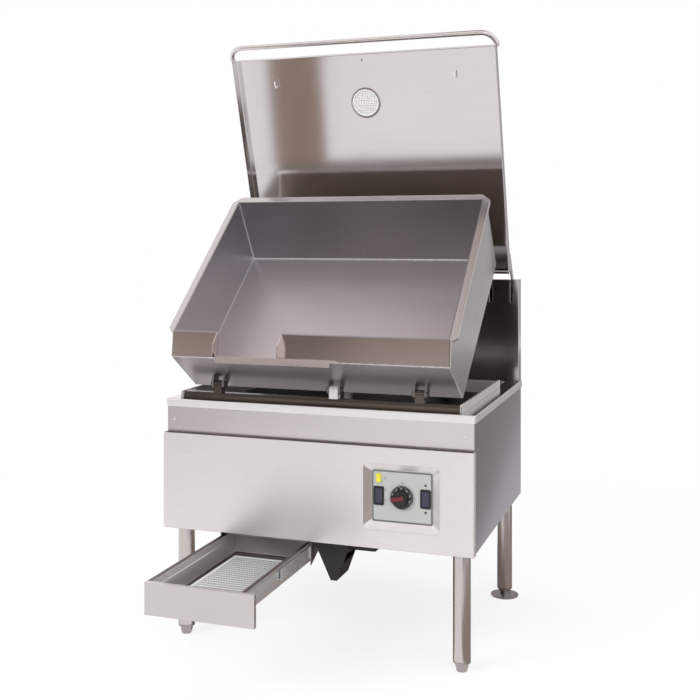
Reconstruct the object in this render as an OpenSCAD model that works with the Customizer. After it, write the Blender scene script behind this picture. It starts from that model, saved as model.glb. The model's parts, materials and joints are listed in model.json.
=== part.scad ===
// Tilting bratt pan on a floor-standing cabinet with tubular legs.
// The pan turns on a low front shaft, a screw actuator lifts it, the lid hinges on a rear housing
// and a drip drawer with a perforated strainer runs under the cabinet.
// Build frame: X to the right, Y to the back, Z up from the floor, y = 0 at the fascia.

/* [Cabinet] */
// Width of the cabinet over its side panels
cab_w = 906; // [880:1:1100]
// Depth of the cabinet from the fascia to the back
cab_d = 720; // [712:1:800]
// Height of the deck above the floor
deck_h = 690; // [660:1:760]
// Height of the closed cabinet body, from its underside to the deck
body_h = 370; // [362:1:420]
// Sheet thickness of the cabinet panels
sheet_t = 2; // [1.2:0.1:2.4]
// Height of the upper front fascia, measured from the deck
fascia_h = 95; // [80:1:104]
// How far the lower front panel stands in front of the fascia
panel_proud = 20; // [17:1:26]
// How far the deck overhangs the fascia and the side panels
deck_over = 4; // [3:1:10]
// Height of the folded edge of the deck
deck_edge_h = 22; // [14:1:30]

/* [Well] */
// Depth of the front margin of the deck
margin_front = 14; // [8:1:16]
// Depth of the folded flange around the well
well_flange_h = 40; // [30:1:50]
// Height of the two splash rails beside the well
rail_h = 22; // [14:1:30]
// Thickness of a splash rail
rail_t = 7; // [4:1:9]
// Length of a splash rail
rail_l = 526; // [400:1:600]

/* [Rear housing] */
// Height of the rear housing above the deck
housing_h = 330; // [326:1:360]
// Depth of the rear housing
housing_d = 46; // [44:1:50]

/* [Legs] */
// Outer diameter of a leg tube
leg_d = 47.6; // [40:0.1:54]
// Wall of a leg tube
leg_wall = 2; // [1.5:0.1:3]
// Distance of the leg axes from the side of the cabinet
leg_in = 42; // [40:1:60]
// Distance of the front leg axes behind the fascia
leg_front_y = 37; // [32:1:50]
// Distance of the rear leg axes from the back of the cabinet
leg_back_y = 65; // [56:1:80]
// Height of the lower end of the leg tubes above the floor
leg_z = 30; // [26:1:40]
// Diameter of the floor flange of a rear foot
flange_d = 88; // [80:1:96]
// Diameter of a bolt hole in a floor flange
flange_bolt_d = 11; // [8:0.5:13]
// Distance between the two bolt holes of a floor flange
flange_bolt_gap = 66; // [62:1:68]

/* [Pan] */
// Tilt of the pan in the stored pose
tilt = 40.5; // [36:0.5:44]
// Distance of the pan's inner side wall from the side of the cabinet
pan_side = 55; // [55:1:73]
// Depth of the pan floor from front to back
floor_l = 544; // [520:1:548]
// Height of the rim at the back, above the front bottom edge
rim_h = 229; // [220:1:236]
// Height of the rim at the front, above the front bottom edge
rim_front_h = 220; // [212:1:222]
// Height of the nose line where the front wall folds back
nose_h = 170; // [160:1:176]
// How far the nose line stands in front of the front bottom edge
nose_out = 46; // [36:1:50]
// Height of the cooking surface above the front bottom edge
floor_up = 16.5; // [15:0.5:20]
// Drop of the bottom cover at the back, below the front bottom edge
back_drop = 37; // [28:1:38]
// Wall of the pan
pan_wall = 3; // [2:0.1:3]
// Thickness of the cooking surface
floor_t = 10; // [6:0.5:12]
// Width of the rim flange along the sides
flange_w = 16; // [8:1:18]
// Wall of the outer casing of the pan
casing_t = 2; // [1.5:0.1:2.5]

/* [Pour lip] */
// Left end of the pouring notch, measured from the middle
notch_left = 262; // [240:1:300]
// Width of the pouring notch
notch_w = 191; // [140:1:210]
// Length of the lip in front of the nose line
lip_l = 28; // [20:1:34]
// Rise of the lip towards its edge in the stored pose
lip_pitch = 12; // [0:1:16]
// Height of the turned-down hem of the lip
lip_hem = 16; // [10:1:20]
// Length of the hem
hem_l = 338; // [300:1:380]

/* [Tilt shaft] */
// Distance of the tilt axis behind the fascia
pivot_y = 26; // [24:0.5:28]
// Height of the tilt axis above the deck
pivot_z = 44; // [42:0.5:46]
// Distance of the tilt axis in front of the front bottom edge of the pan
pivot_fwd = 32; // [30:0.5:34]
// Height of the tilt axis above the front bottom edge of the pan
pivot_up = 44; // [42:0.5:46]
// Diameter of a tilt pin
pivot_pin_d = 12; // [8:0.5:14]
// Radius of the rounded ears and bearing blocks
pivot_r = 12; // [10:0.5:13]
// Distance of the outer bearing blocks from the side of the cabinet
block_in = 153; // [123:1:193]

/* [Lid] */
// Lean of the open lid towards the front
lid_lean = 18.5; // [14:0.5:20]
// Length of the lid from its rear fold to its front edge
lid_l = 730; // [700:1:760]
// Distance of the lid's side from the side of the cabinet
lid_side = 20; // [13:1:27]
// Depth of the lid's side skirts
skirt_h = 34; // [24:1:36]
// Depth of the lid's rear fold
rear_fold_h = 22; // [16:1:23]
// Sheet of the lid
lid_t = 1.5; // [1:0.1:2]
// Diameter of the lid handle tube
handle_d = 16; // [12:0.5:20]
// Diameter of the steam vent in the lid
vent_d = 98; // [80:1:110]
// Distance of the vent centre from the rear fold of the lid
vent_s = 570; // [540:1:600]
// Distance of the lid hinge axis from the back of the cabinet
hinge_back = 16; // [14:0.5:18]
// Height of the lid hinge axis above the deck
hinge_z = 300; // [296:1:304]
// Distance between the two arms of a lid hinge
arm_gap = 68; // [60:1:72]

/* [Controls] */
// Distance of the control recess centre from the right side of the cabinet
ctrl_in = 195; // [191:1:233]
// Distance of the control recess centre below the deck
ctrl_drop = 229; // [220:1:236]
// Width of the control recess at its mouth
dish_w = 214; // [206:1:230]
// Height of the control recess at its mouth
dish_h = 180; // [172:1:190]
// Width of the control plate
plate_w = 170; // [164:1:176]
// Height of the control plate
plate_h = 140; // [130:1:146]
// Depth of the control recess
dish_depth = 14; // [10:0.5:15]
// Diameter of the thermostat dial
dial_d = 62; // [50:1:66]
// Distance from the dial to each rocker switch
rocker_gap = 65; // [56:1:66]
// Width of a rocker switch
rocker_w = 25; // [20:1:28]
// Height of a rocker switch
rocker_h = 47; // [40:1:52]

/* [Drawer] */
// How far the drawer is pulled out in the stored pose
drawer_out = 407; // [300:1:420]
// Width of the drawer front
drawer_w = 296; // [280:1:310]
// Height of the drawer front
drawer_h = 81; // [70:1:88]
// Distance of the drawer's middle to the left of the middle of the cabinet
drawer_x = 133; // [120:1:140]
// How far the tray sits to the left of the drawer front's middle
tray_shift = 16; // [12:1:20]
// Depth of the drawer tray
tray_l = 500; // [480:1:560]
// Gap between the drawer and the underside of the cabinet
drawer_gap = 12; // [8:1:16]
// Diameter of the holes of the strainer
strainer_hole_d = 6; // [4:0.5:6.5]
// Distance between the holes of the strainer
strainer_pitch = 11; // [10:0.5:14]

/* [Actuator] */
// Distance of the lower actuator pin behind the fascia
act_y = 66; // [64:1:72]
// Distance of the lower actuator pin below the cabinet's underside
act_drop = 68; // [64:1:76]
// Distance of the actuator to the right of the middle
act_x = 54; // [50:1:60]
// Distance of the upper actuator pin behind the front bottom edge of the pan
clevis_y = 60; // [50:1:70]
// Distance of the upper actuator pin below the front bottom edge of the pan
clevis_drop = 32; // [30:1:36]
// Diameter of the actuator rod
rod_d = 30; // [22:1:34]
// Diameter of the actuator's outer tube
act_tube_d = 56; // [46:1:60]

/* [Hidden] */
$fn = 64;

// Overrun of cuts
over = 1;
// Running clearance between parts that move past each other
run_gap = 0.5;
// Gap between a part and the part it hangs on or stands against
seat_gap = 0.3;
// Radial clearance of pins and shafts in their bores
pin_gap = 0.05;

// Main heights and half widths
half_w = cab_w/2;
base_z = deck_h - body_h;
fascia_z = deck_h - fascia_h;
housing_y = cab_d - housing_d;
front_y = -panel_proud;
pan_half_w = half_w - pan_side;
lid_half_w = half_w - lid_side;
block_x = half_w - block_in;
ctrl_x = half_w - ctrl_in;
act_z = base_z - act_drop;

// The well and the end plates of the pan
end_t = 4;
end_out = pan_half_w + pan_wall + end_t;
well_gap = 4;
well_flange_t = 2;
well_half_w = end_out + well_gap + well_flange_t;
well_back_gap = 3;
well_back_y = housing_y - well_back_gap;

// Middle of the object from front to back, for the frame's origin
mid_y = (cab_d + front_y - drawer_out)/2;

// Small radii and fasteners
screw_d = 8;
screw_h = 2.5;
screw_in = 22;
screw_drop = 60;
fold_t = 2;

// Moves the build frame to the frame of the finished part
module in_frame() { translate([0, -mid_y, 0]) children(); }

// Both sides of the middle plane
module both_sides() { children(); mirror([1, 0, 0]) children(); }

// A box given by its lowest corner and its size
module block(at, size) { translate(at) cube(size); }

// A rectangle with round corners, centred
module round_rect(w, h, r) {
    square([w - 2*r, h], center = true);
    square([w, h - 2*r], center = true);
    for (sx = [-1, 1], sy = [-1, 1]) translate([sx*(w/2 - r), sy*(h/2 - r)]) circle(r);
}

// A profile in Y and Z, extruded along X between two planes
module along_x(x0, x1) {
    translate([x0, 0, 0]) rotate([90, 0, 90]) linear_extrude(x1 - x0) children();
}

// A rod along X
module rod_x(x0, x1, d) { translate([x0, 0, 0]) rotate([0, 90, 0]) cylinder(d = d, h = x1 - x0); }

function unit(v) = v/norm(v);

// Moves each side of a counterclockwise outline inwards by t
function inset(p, t) = [
    for (i = [0:len(p) - 1])
        let (a = p[(i + len(p) - 1)%len(p)], b = p[i], c = p[(i + 1)%len(p)],
            d1 = unit(b - a), d2 = unit(c - b),
            n1 = [-d1.y, d1.x], n2 = [-d2.y, d2.x])
            b + t*(n1 + n2)/(1 + n1*n2)];

// DECK AND WELL

module deck() {
    color("silver") in_frame() translate([0, 0, deck_h]) {
        difference() {
            block([-half_w - deck_over, -deck_over, -deck_edge_h],
                [cab_w + 2*deck_over, cab_d + deck_over, deck_edge_h]);
            block([-half_w - deck_over + sheet_t, -deck_over + sheet_t, -deck_edge_h - over],
                [cab_w + 2*deck_over - 2*sheet_t, cab_d + deck_over - 2*sheet_t,
                    deck_edge_h + over - sheet_t]);
            block([-well_half_w, margin_front, -deck_edge_h - over],
                [2*well_half_w, well_back_y - margin_front, deck_edge_h + 2*over]);
        }
        difference() {
            block([-well_half_w, margin_front, -well_flange_h],
                [2*well_half_w, well_back_y - margin_front, well_flange_h]);
            block([-well_half_w + well_flange_t, margin_front + well_flange_t, -well_flange_h - over],
                [2*(well_half_w - well_flange_t), well_back_y - margin_front - 2*well_flange_t,
                    well_flange_h + 2*over]);
        }
    }
}

module splash_rail() {
    in_frame() translate([well_half_w, margin_front, deck_h])
        difference() {
            cube([rail_t, rail_l, rail_h]);
            block([fold_t, -over, -over], [rail_t - 2*fold_t, rail_l + 2*over, rail_h + over - fold_t]);
        }
}

module splash_rail_right() { color("gainsboro") splash_rail(); }
module splash_rail_left() { color("gainsboro") mirror([1, 0, 0]) splash_rail(); }

// Beam that carries the bearing blocks of the tilt shaft
beam_in = 6;
beam_front = pivot_y - beam_in;
beam_d = 24;
beam_top = pivot_z - 2*pivot_r;
beam_h = 36;
beam_wall = 3;
beam_half_w = well_half_w - well_flange_t;

module pivot_beam() {
    color("dimgray") in_frame() translate([0, beam_front, deck_h + beam_top - beam_h])
        difference() {
            block([-beam_half_w, 0, 0], [2*beam_half_w, beam_d, beam_h]);
            block([-beam_half_w - over, beam_wall, beam_wall],
                [2*beam_half_w + 2*over, beam_d - 2*beam_wall, beam_h - 2*beam_wall]);
        }
}

trough_y = margin_front + well_flange_t;
trough_d = beam_front + beam_d - trough_y;

module well_trough() {
    color("tan") in_frame() translate([0, trough_y, deck_h - well_flange_h])
        difference() {
            block([-beam_half_w, 0, 0], [2*beam_half_w, trough_d, well_flange_h + beam_top - beam_h]);
            block([-beam_half_w + sheet_t, sheet_t, sheet_t],
                [2*(beam_half_w - sheet_t), trough_d - 2*sheet_t, well_flange_h]);
        }
}

// TILT SHAFT

block_w = 26;
centre_block_x = act_x;
blocks_x = [-block_x, centre_block_x, block_x];
ear_t = 6;
ear_slope = 30;

module at_pivot(x) { translate([x, pivot_y, deck_h + pivot_z]) children(); }

module pivot_blocks() {
    color("silver") in_frame()
        for (x = blocks_x) at_pivot(x) difference() {
            union() {
                block([-block_w/2, -pivot_r, beam_top - pivot_z], [block_w, 2*pivot_r, pivot_z - beam_top]);
                rod_x(-block_w/2, block_w/2, 2*pivot_r);
            }
            rod_x(-block_w/2 - over, block_w/2 + over, pivot_pin_d + 2*pin_gap);
        }
}

pin_head_d = 18;
pin_head_h = 4;
pin_half_l = block_w/2 + run_gap + ear_t;

module pivot_pins() {
    color("dimgray") in_frame()
        for (x = blocks_x) at_pivot(x) {
            rod_x(-pin_half_l, pin_half_l, pivot_pin_d);
            for (s = [0, 1]) mirror([s, 0, 0]) rod_x(pin_half_l, pin_half_l + pin_head_h, pin_head_d);
        }
}

// PAN

// Places a piece given in the level pan's own frame, origin at its front bottom edge
module in_pan() {
    in_frame() at_pivot(0) rotate([tilt, 0, 0]) translate([0, pivot_fwd, -pivot_up]) children();
}

function on_nose(v) = -nose_out*v/nose_h;

// Outlines in Y and Z of the level pan
back_slope = 32;
rim_front_y = 5;
back_foot = floor_l;
cavity = [
    [on_nose(floor_up) + pan_wall, floor_up], [back_foot, floor_up],
    [back_foot + back_slope, rim_h], [rim_front_y + pan_wall, rim_front_h],
    [-nose_out + pan_wall, nose_h]];
wall_outline = inset(cavity, -pan_wall);
// The same outline with its mouth drawn past the rim
function beyond(a, b) = b + 2*over*unit(b - a);
cavity_cut = [cavity[0], cavity[1], beyond(cavity[1], cavity[2]), beyond(cavity[4], cavity[3]), cavity[4]];
back_top = back_foot + back_slope;
casing_gap = 37;
casing_foot = back_foot + casing_gap;
casing_top_gap = 22;
casing_top = back_top + casing_top_gap;
rim_edge_h = 12;
rim_half_w = end_out + flange_w;
rim_over = 4;
rim_back = casing_top + rim_over;
corner_cut = 26;
front_cut = 12;
rim_low = rim_h - rim_edge_h - 2*pan_wall;
end_cut_y = rim_back - corner_cut - pan_wall + flange_w - pan_wall - run_gap;
end_outline = [
    [0, 0], [casing_foot, -back_drop], [casing_top, rim_low], [end_cut_y, rim_low],
    [end_cut_y, rim_h - pan_wall], [rim_front_y, rim_front_h - pan_wall], [-nose_out, nose_h]];

// Cuts everything above the rim plane
rim_slope = atan((rim_h - rim_front_h)/(back_top - rim_front_y));
module above_rim(gap) {
    translate([-2*half_w, rim_front_y, rim_front_h - gap]) rotate([rim_slope, 0, 0])
        translate([0, -cab_d/2, 0]) cube([4*half_w, 2*cab_d, rim_h]);
}

module notch_cut() {
    block([-notch_left, -nose_out - over - pan_wall, nose_h],
        [notch_w, nose_out + 4*pan_wall + rim_front_y + 2*flange_w, rim_h]);
}

module pan_shell() {
    color("lightslategray") in_pan() difference() {
        union() {
            along_x(-pan_half_w - pan_wall, pan_half_w + pan_wall) polygon(wall_outline);
            along_x(-pan_half_w - pan_wall, pan_half_w + pan_wall)
                polygon([[on_nose(floor_up), floor_up], [on_nose(floor_up - floor_t), floor_up - floor_t],
                    [back_foot, floor_up - floor_t], [back_foot + pan_wall, floor_up]]);
            along_x(-pan_half_w - pan_wall, pan_half_w + pan_wall)
                polygon([[0, 0], [pan_wall, 0], [pan_wall + on_nose(floor_up), floor_up],
                    [on_nose(floor_up), floor_up]]);
        }
        along_x(-pan_half_w, pan_half_w) polygon(cavity_cut);
        above_rim(0);
        notch_cut();
    }
}

// Flat rim flange with a turned-down edge along the sides and the back
module rim_plan(grow) {
    a = rim_half_w - grow;
    polygon([[-a + front_cut, rim_front_y], [a - front_cut, rim_front_y],
        [a, rim_front_y + front_cut + grow], [a, rim_back - corner_cut - grow],
        [a - corner_cut, rim_back - grow], [-a + corner_cut, rim_back - grow],
        [-a, rim_back - corner_cut - grow], [-a, rim_front_y + front_cut + grow]]);
}

module pan_rim() {
    color("silver") in_pan() translate([0, rim_front_y, rim_front_h]) rotate([rim_slope, 0, 0])
        translate([0, -rim_front_y, 0]) difference() {
            translate([0, 0, -rim_edge_h]) linear_extrude(rim_edge_h) rim_plan(0);
            translate([0, 0, -rim_edge_h - over]) linear_extrude(rim_edge_h + over - pan_wall)
                difference() {
                    rim_plan(pan_wall);
                }
            block([-pan_half_w - pan_wall, rim_front_y - over, -rim_edge_h - over],
                [2*(pan_half_w + pan_wall), (back_top + pan_wall - rim_front_y)/cos(rim_slope) + over + seat_gap,
                    rim_edge_h + 2*over]);
        }
}

module pan_end() {
    in_pan() along_x(pan_half_w + pan_wall, end_out) polygon(end_outline);
}
module pan_end_right() { color("silver") pan_end(); }
module pan_end_left() { color("silver") mirror([1, 0, 0]) pan_end(); }

// Folded cover under the cooking surface and behind the back wall
casing_cut_x = rim_half_w - pan_wall - corner_cut - rim_over;
module pan_casing() {
    color("gray") in_pan() difference() {
        along_x(-pan_half_w - pan_wall, pan_half_w + pan_wall)
            polygon([[pan_wall, 0], [casing_foot, -back_drop], [casing_top, rim_h - pan_wall],
                [casing_top - casing_t, rim_h - pan_wall], [casing_foot - casing_t, -back_drop + casing_t],
                [pan_wall, casing_t]]);
        both_sides() block([-half_w, end_cut_y, rim_low], [half_w - casing_cut_x, cab_d, rim_h]);
    }
}

// Three hairpin heating elements clamped under the cooking surface
heater_d = 9;
heater_n = 3;
heater_in = 88;
heater_span = 2*(pan_half_w - heater_in);
heater_pitch = 60;
module hairpin(w) {
    rotate([90, 0, 90]) cylinder(d = heater_d, h = w);
    translate([0, heater_pitch, 0]) rotate([90, 0, 90]) cylinder(d = heater_d, h = w);
    translate([w, heater_pitch/2, 0]) rotate([0, 0, -90])
        rotate_extrude(angle = 180) translate([heater_pitch/2, 0]) circle(d = heater_d);
}
heater_first_y = 170;
heater_step = 120;
module heating_elements() {
    color("sienna") in_pan()
        for (i = [0:heater_n - 1])
            translate([-heater_span/2, heater_first_y + i*heater_step, floor_up - floor_t - heater_d/2])
                hairpin(heater_span);
}

// Point of the line through a and b at the height z
function on_line(a, b, z) = a + (b - a)*(z - a.y)/(b.y - a.y);

// Pour lip: a spout floor that rises from the nose line, two cheeks and a turned-down hem
lip_t = 3;
lip_dir = [-cos(tilt + lip_pitch), sin(tilt + lip_pitch)];
hem_dir = [-sin(tilt), -cos(tilt)];
nose = on_line(wall_outline[0], wall_outline[4], nose_h);
nose_low = on_line(wall_outline[0], wall_outline[4], nose_h - lip_t);
lip_tip = nose + lip_l*lip_dir;
cheek_back = on_line(wall_outline[4], wall_outline[3], rim_front_h);
cheek_share = 0.5;
cheek_mid = nose + (cheek_back - nose)*cheek_share + lip_l*lip_dir;
hem_in = 6;
hem_left = notch_left - hem_in;

module pour_lip() {
    color("gainsboro") in_pan() {
        along_x(-notch_left, -notch_left + notch_w)
            polygon([nose, lip_tip, lip_tip - lip_t*[0, 1], nose_low]);
        for (x = [-notch_left - lip_t, -notch_left + notch_w])
            along_x(x, x + lip_t)
                polygon([nose, wall_outline[4], cheek_back, cheek_mid, lip_tip]);
        along_x(-hem_left, -hem_left + hem_l)
            polygon([lip_tip, lip_tip + lip_hem*hem_dir, lip_tip + lip_hem*hem_dir - lip_t*lip_dir,
                nose_low, nose, lip_tip - lip_t*hem_dir]);
    }
}

function on_wall(z) = on_line(wall_outline[0], wall_outline[4], z);

// Welded ears under the nose that turn on the tilt pins
module pan_hinge_ears() {
    color("dimgray") in_pan()
        for (x = blocks_x, s = [-1, 1])
            translate([x + s*(block_w/2 + run_gap + ear_t/2), 0, 0]) difference() {
                along_x(-ear_t/2, ear_t/2) union() {
                    translate([-pivot_fwd, pivot_up]) circle(pivot_r);
                    polygon([[-pivot_fwd, pivot_up - pivot_r], on_wall(pivot_up - pivot_r), on_wall(pivot_up + 2*pivot_r),
                        [-pivot_fwd - pivot_r*sin(ear_slope), pivot_up + pivot_r*cos(ear_slope)]]);
                }
                translate([0, -pivot_fwd, pivot_up])
                    rod_x(-ear_t/2 - over, ear_t/2 + over, pivot_pin_d);
            }
}

// Clevis under the pan for the actuator's eye
eye_t = 16;
eye_r = 12;
clevis_t = 5;
clevis_bolt_d = 18;
clevis_bolt_h = 5;
function on_cover(y) = -back_drop*(y - pan_wall)/(casing_foot - pan_wall);
module pan_clevis() {
    color("dimgray") in_pan() translate([act_x, 0, 0])
        for (s = [0, 1]) mirror([s, 0, 0]) {
            along_x(eye_t/2 + run_gap, eye_t/2 + run_gap + clevis_t) union() {
                translate([clevis_y, -clevis_drop]) circle(eye_r);
                polygon([[clevis_y - eye_r, -clevis_drop], [clevis_y + eye_r, -clevis_drop],
                    [clevis_y + 2*eye_r, on_cover(clevis_y + 2*eye_r)],
                    [clevis_y - 2*eye_r, on_cover(clevis_y - 2*eye_r)]]);
            }
            translate([0, clevis_y, -clevis_drop])
                rod_x(eye_t/2 + run_gap + clevis_t, eye_t/2 + run_gap + clevis_t + clevis_bolt_h, clevis_bolt_d);
        }
}

// ACTUATOR

// Upper pin in the build frame, from the pan's tilt
pin_rel = [clevis_y + pivot_fwd, -clevis_drop - pivot_up];
pin_y = pivot_y + pin_rel.x*cos(tilt) - pin_rel.y*sin(tilt);
pin_z = deck_h + pivot_z + pin_rel.x*sin(tilt) + pin_rel.y*cos(tilt);
act_l = norm([pin_y - act_y, pin_z - act_z]);
act_lean = atan((pin_y - act_y)/(pin_z - act_z));
act_pin_d = 16;
act_eye_r = 16;
act_eye_w = 28;
gear_w = 56;
gear_d = 44;
gear_z = 24;
gear_h = 62;
act_body_l = 390;
bore_gap = 8;
act_bore_d = rod_d + bore_gap;
cap_h = 12;
rod_foot_l = 90;
bore_foot = 30;
motor_d = 48;
motor_l = 84;
motor_end_l = 8;
motor_share = 0.7;
neck_l = 45;

module on_actuator() {
    in_frame() translate([act_x, act_y, act_z]) rotate([-act_lean, 0, 0]) children();
}

module actuator_body() {
    color("dimgray") on_actuator() difference() {
        union() {
            rod_x(-act_eye_w/2, act_eye_w/2, 2*act_eye_r);
            block([-act_eye_w/2, -act_eye_r, 0], [act_eye_w, 2*act_eye_r, gear_z + over]);
            block([-gear_w/2, -gear_d/2, gear_z], [gear_w, gear_d, gear_h]);
            translate([0, 0, gear_z]) cylinder(d = act_tube_d, h = act_body_l - gear_z);
        }
        rod_x(-act_eye_w/2 - over, act_eye_w/2 + over, act_pin_d + 2*pin_gap);
        translate([0, 0, bore_foot]) cylinder(d = act_bore_d, h = act_body_l - cap_h - bore_foot);
        translate([0, 0, act_body_l/2]) cylinder(d = rod_d + 2*pin_gap, h = act_body_l);
    }
}

module actuator_motor() {
    color("black") on_actuator() translate([gear_w/2, 0, gear_z + gear_h/2]) {
        rod_x(0, motor_l - motor_end_l, motor_d);
        translate([motor_l - motor_end_l, 0, 0]) rotate([0, 90, 0])
            cylinder(d1 = motor_d, d2 = motor_d*motor_share, h = motor_end_l);
    }
}

module actuator_rod() {
    color("silver") on_actuator() difference() {
        union() {
            translate([0, 0, rod_foot_l + gear_z]) cylinder(d = rod_d, h = act_l - neck_l - rod_foot_l - gear_z);
            block([-eye_t/2, -eye_r, act_l - neck_l], [eye_t, 2*eye_r, neck_l]);
            translate([0, 0, act_l]) rod_x(-eye_t/2, eye_t/2, 2*eye_r);
        }
    }
}

// V-shaped bracket that hangs the actuator under the cabinet
vee_t = 4;
vee_half_gap = 44;
vee_top_w = 112;
vee_apex_w = 18;
vee_h = 112;
vee_shift = -6;
vee_flange = 14;
vee_web_h = 50;
vee_left = vee_shift - vee_top_w/2;
vee_right = vee_shift + vee_top_w/2;
module vee_outline() {
    polygon([[vee_left, base_z], [-vee_apex_w/2, base_z - vee_h],
        [vee_apex_w/2, base_z - vee_h], [vee_right, base_z]]);
}
module actuator_bracket() {
    color("black") in_frame() translate([act_x, act_y, 0]) {
        for (s = [0, 1]) mirror([0, s, 0]) {
            translate([0, vee_half_gap, 0]) rotate([90, 0, 0]) translate([0, 0, -vee_t])
                linear_extrude(vee_t) vee_outline();
            block([vee_left, vee_half_gap, base_z - vee_t], [vee_top_w, vee_flange, vee_t]);
        }
        intersection() {
            rotate([90, 0, 0]) translate([0, 0, -vee_half_gap]) linear_extrude(2*vee_half_gap) difference() {
                vee_outline();
                polygon([[vee_left + vee_t, base_z + over], [-vee_apex_w/2 + vee_t, base_z - vee_h + vee_t],
                    [vee_apex_w/2 - vee_t, base_z - vee_h + vee_t], [vee_right - vee_t, base_z + over]]);
            }
            block([vee_left, -cab_d/2, base_z - vee_h], [vee_top_w, cab_d, vee_web_h]);
        }
        translate([0, 0, act_z]) rod_x(-vee_pin_left, vee_pin_right, act_pin_d);
    }
}
vee_pin_left = 28;
vee_pin_right = 23;

// LEGS

leg_x = half_w - leg_in;
leg_ys = [leg_front_y, cab_d - leg_back_y];
module leg(sx, y) {
    color("lightgray") in_frame() translate([sx*leg_x, y, leg_z]) difference() {
        cylinder(d = leg_d, h = base_z - leg_z);
        translate([0, 0, -over]) cylinder(d = leg_d - 2*leg_wall, h = base_z - leg_z + 2*over);
    }
}
module leg_front_left() { leg(-1, leg_ys[0]); }
module leg_front_right() { leg(1, leg_ys[0]); }
module leg_rear_left() { leg(-1, leg_ys[1]); }
module leg_rear_right() { leg(1, leg_ys[1]); }

// Tapered front feet with a shoulder and a stem inside the tube
foot_sole_d = 30;
foot_round = 6;
stem_l = 50;
stem_gap = 0.3;
foot_neck_d = 38;
module bullet_feet() {
    color("gray") in_frame() for (sx = [-1, 1]) translate([sx*leg_x, leg_ys[0], 0])
        rotate_extrude() polygon([[0, 0], [foot_sole_d/2 - foot_round/2, 0], [foot_sole_d/2, foot_round/2],
            [foot_neck_d/2, leg_z - foot_round], [leg_d/2, leg_z - foot_round], [leg_d/2, leg_z],
            [leg_d/2 - leg_wall - stem_gap, leg_z], [leg_d/2 - leg_wall - stem_gap, leg_z + stem_l],
            [0, leg_z + stem_l]]);
}

// Rear feet with a round floor flange and two bolt holes
flange_t = 5;
flange_neck_d = 34;
module flanged_foot(sx) {
    color("gray") in_frame() translate([sx*leg_x, leg_ys[1], 0]) difference() {
        rotate_extrude() polygon([[0, 0], [flange_d/2, 0], [flange_d/2, flange_t], [flange_neck_d/2, flange_t],
            [foot_neck_d/2, leg_z - foot_round], [leg_d/2, leg_z - foot_round], [leg_d/2, leg_z],
            [leg_d/2 - leg_wall - stem_gap, leg_z], [leg_d/2 - leg_wall - stem_gap, leg_z + stem_l],
            [0, leg_z + stem_l]]);
        for (s = [-1, 1]) translate([s*flange_bolt_gap/2, 0, -over])
            cylinder(d = flange_bolt_d, h = flange_t + 2*over);
    }
}
module flanged_foot_left() { flanged_foot(-1); }
module flanged_foot_right() { flanged_foot(1); }

// CABINET PANELS

fold_w = 18;
module side_panel() {
    in_frame() {
        block([half_w - sheet_t, sheet_t, base_z], [sheet_t, cab_d - 2*sheet_t, body_h - sheet_t]);
        block([half_w - fold_w, sheet_t, base_z], [fold_w, sheet_t, body_h - sheet_t]);
        block([half_w - fold_w, cab_d - 2*sheet_t, base_z], [fold_w, sheet_t, body_h - sheet_t]);
    }
}
module side_panel_right() { color("silver") side_panel(); }
module side_panel_left() { color("silver") mirror([1, 0, 0]) side_panel(); }

module front_fascia() {
    color("gainsboro") in_frame()
        block([-half_w, 0, fascia_z - fold_w], [cab_w, sheet_t, fascia_h + fold_w - sheet_t]);
}

module cabinet_screws() {
    color("dimgray") in_frame()
        for (sx = [-1, 1]) translate([sx*(half_w - screw_in), 0, deck_h - screw_drop]) rotate([90, 0, 0])
            rotate_extrude() intersection() {
                translate([0, -screw_d]) circle(screw_d + screw_h);
                square([screw_d/2, screw_h]);
            }
}

dish_r = 14;
plate_r = 6;
panel_over = 4;
panel_w = cab_w + 2*panel_over;
ctrl_z = deck_h - ctrl_drop;
panel_top = fascia_z;
// Pressed recess for the controls, as a wall of four sloping faces
module dish(grow) {
    hull() {
        linear_extrude(over) round_rect(dish_w + 2*grow, dish_h + 2*grow, dish_r);
        translate([0, 0, dish_depth + grow - over]) linear_extrude(over)
            round_rect(plate_w + 2*grow, plate_h + 2*grow, plate_r);
    }
}
module at_controls(back) { translate([ctrl_x, front_y + back, ctrl_z]) rotate([-90, 0, 0]) children(); }

module front_panel() {
    color("gainsboro") in_frame() difference() {
        union() {
            difference() {
                block([-panel_w/2, front_y, base_z], [panel_w, panel_proud - seat_gap, panel_top - base_z]);
                block([-panel_w/2 + sheet_t, front_y + sheet_t, base_z + sheet_t],
                    [panel_w - 2*sheet_t, panel_proud, panel_top - base_z - 2*sheet_t]);
            }
            at_controls(0) dish(sheet_t);
        }
        at_controls(0) dish(0);
        at_controls(-over) linear_extrude(2*over) round_rect(dish_w, dish_h, dish_r);
        at_controls(dish_depth - over) linear_extrude(panel_proud)
            square([plate_w - 2*plate_r, plate_h - 3*plate_r], center = true);
    }
}

module rear_panel() {
    color("gray") in_frame()
        block([-half_w + run_gap, cab_d - sheet_t, base_z], [cab_w - 2*run_gap, sheet_t, body_h - deck_edge_h]);
}

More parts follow.
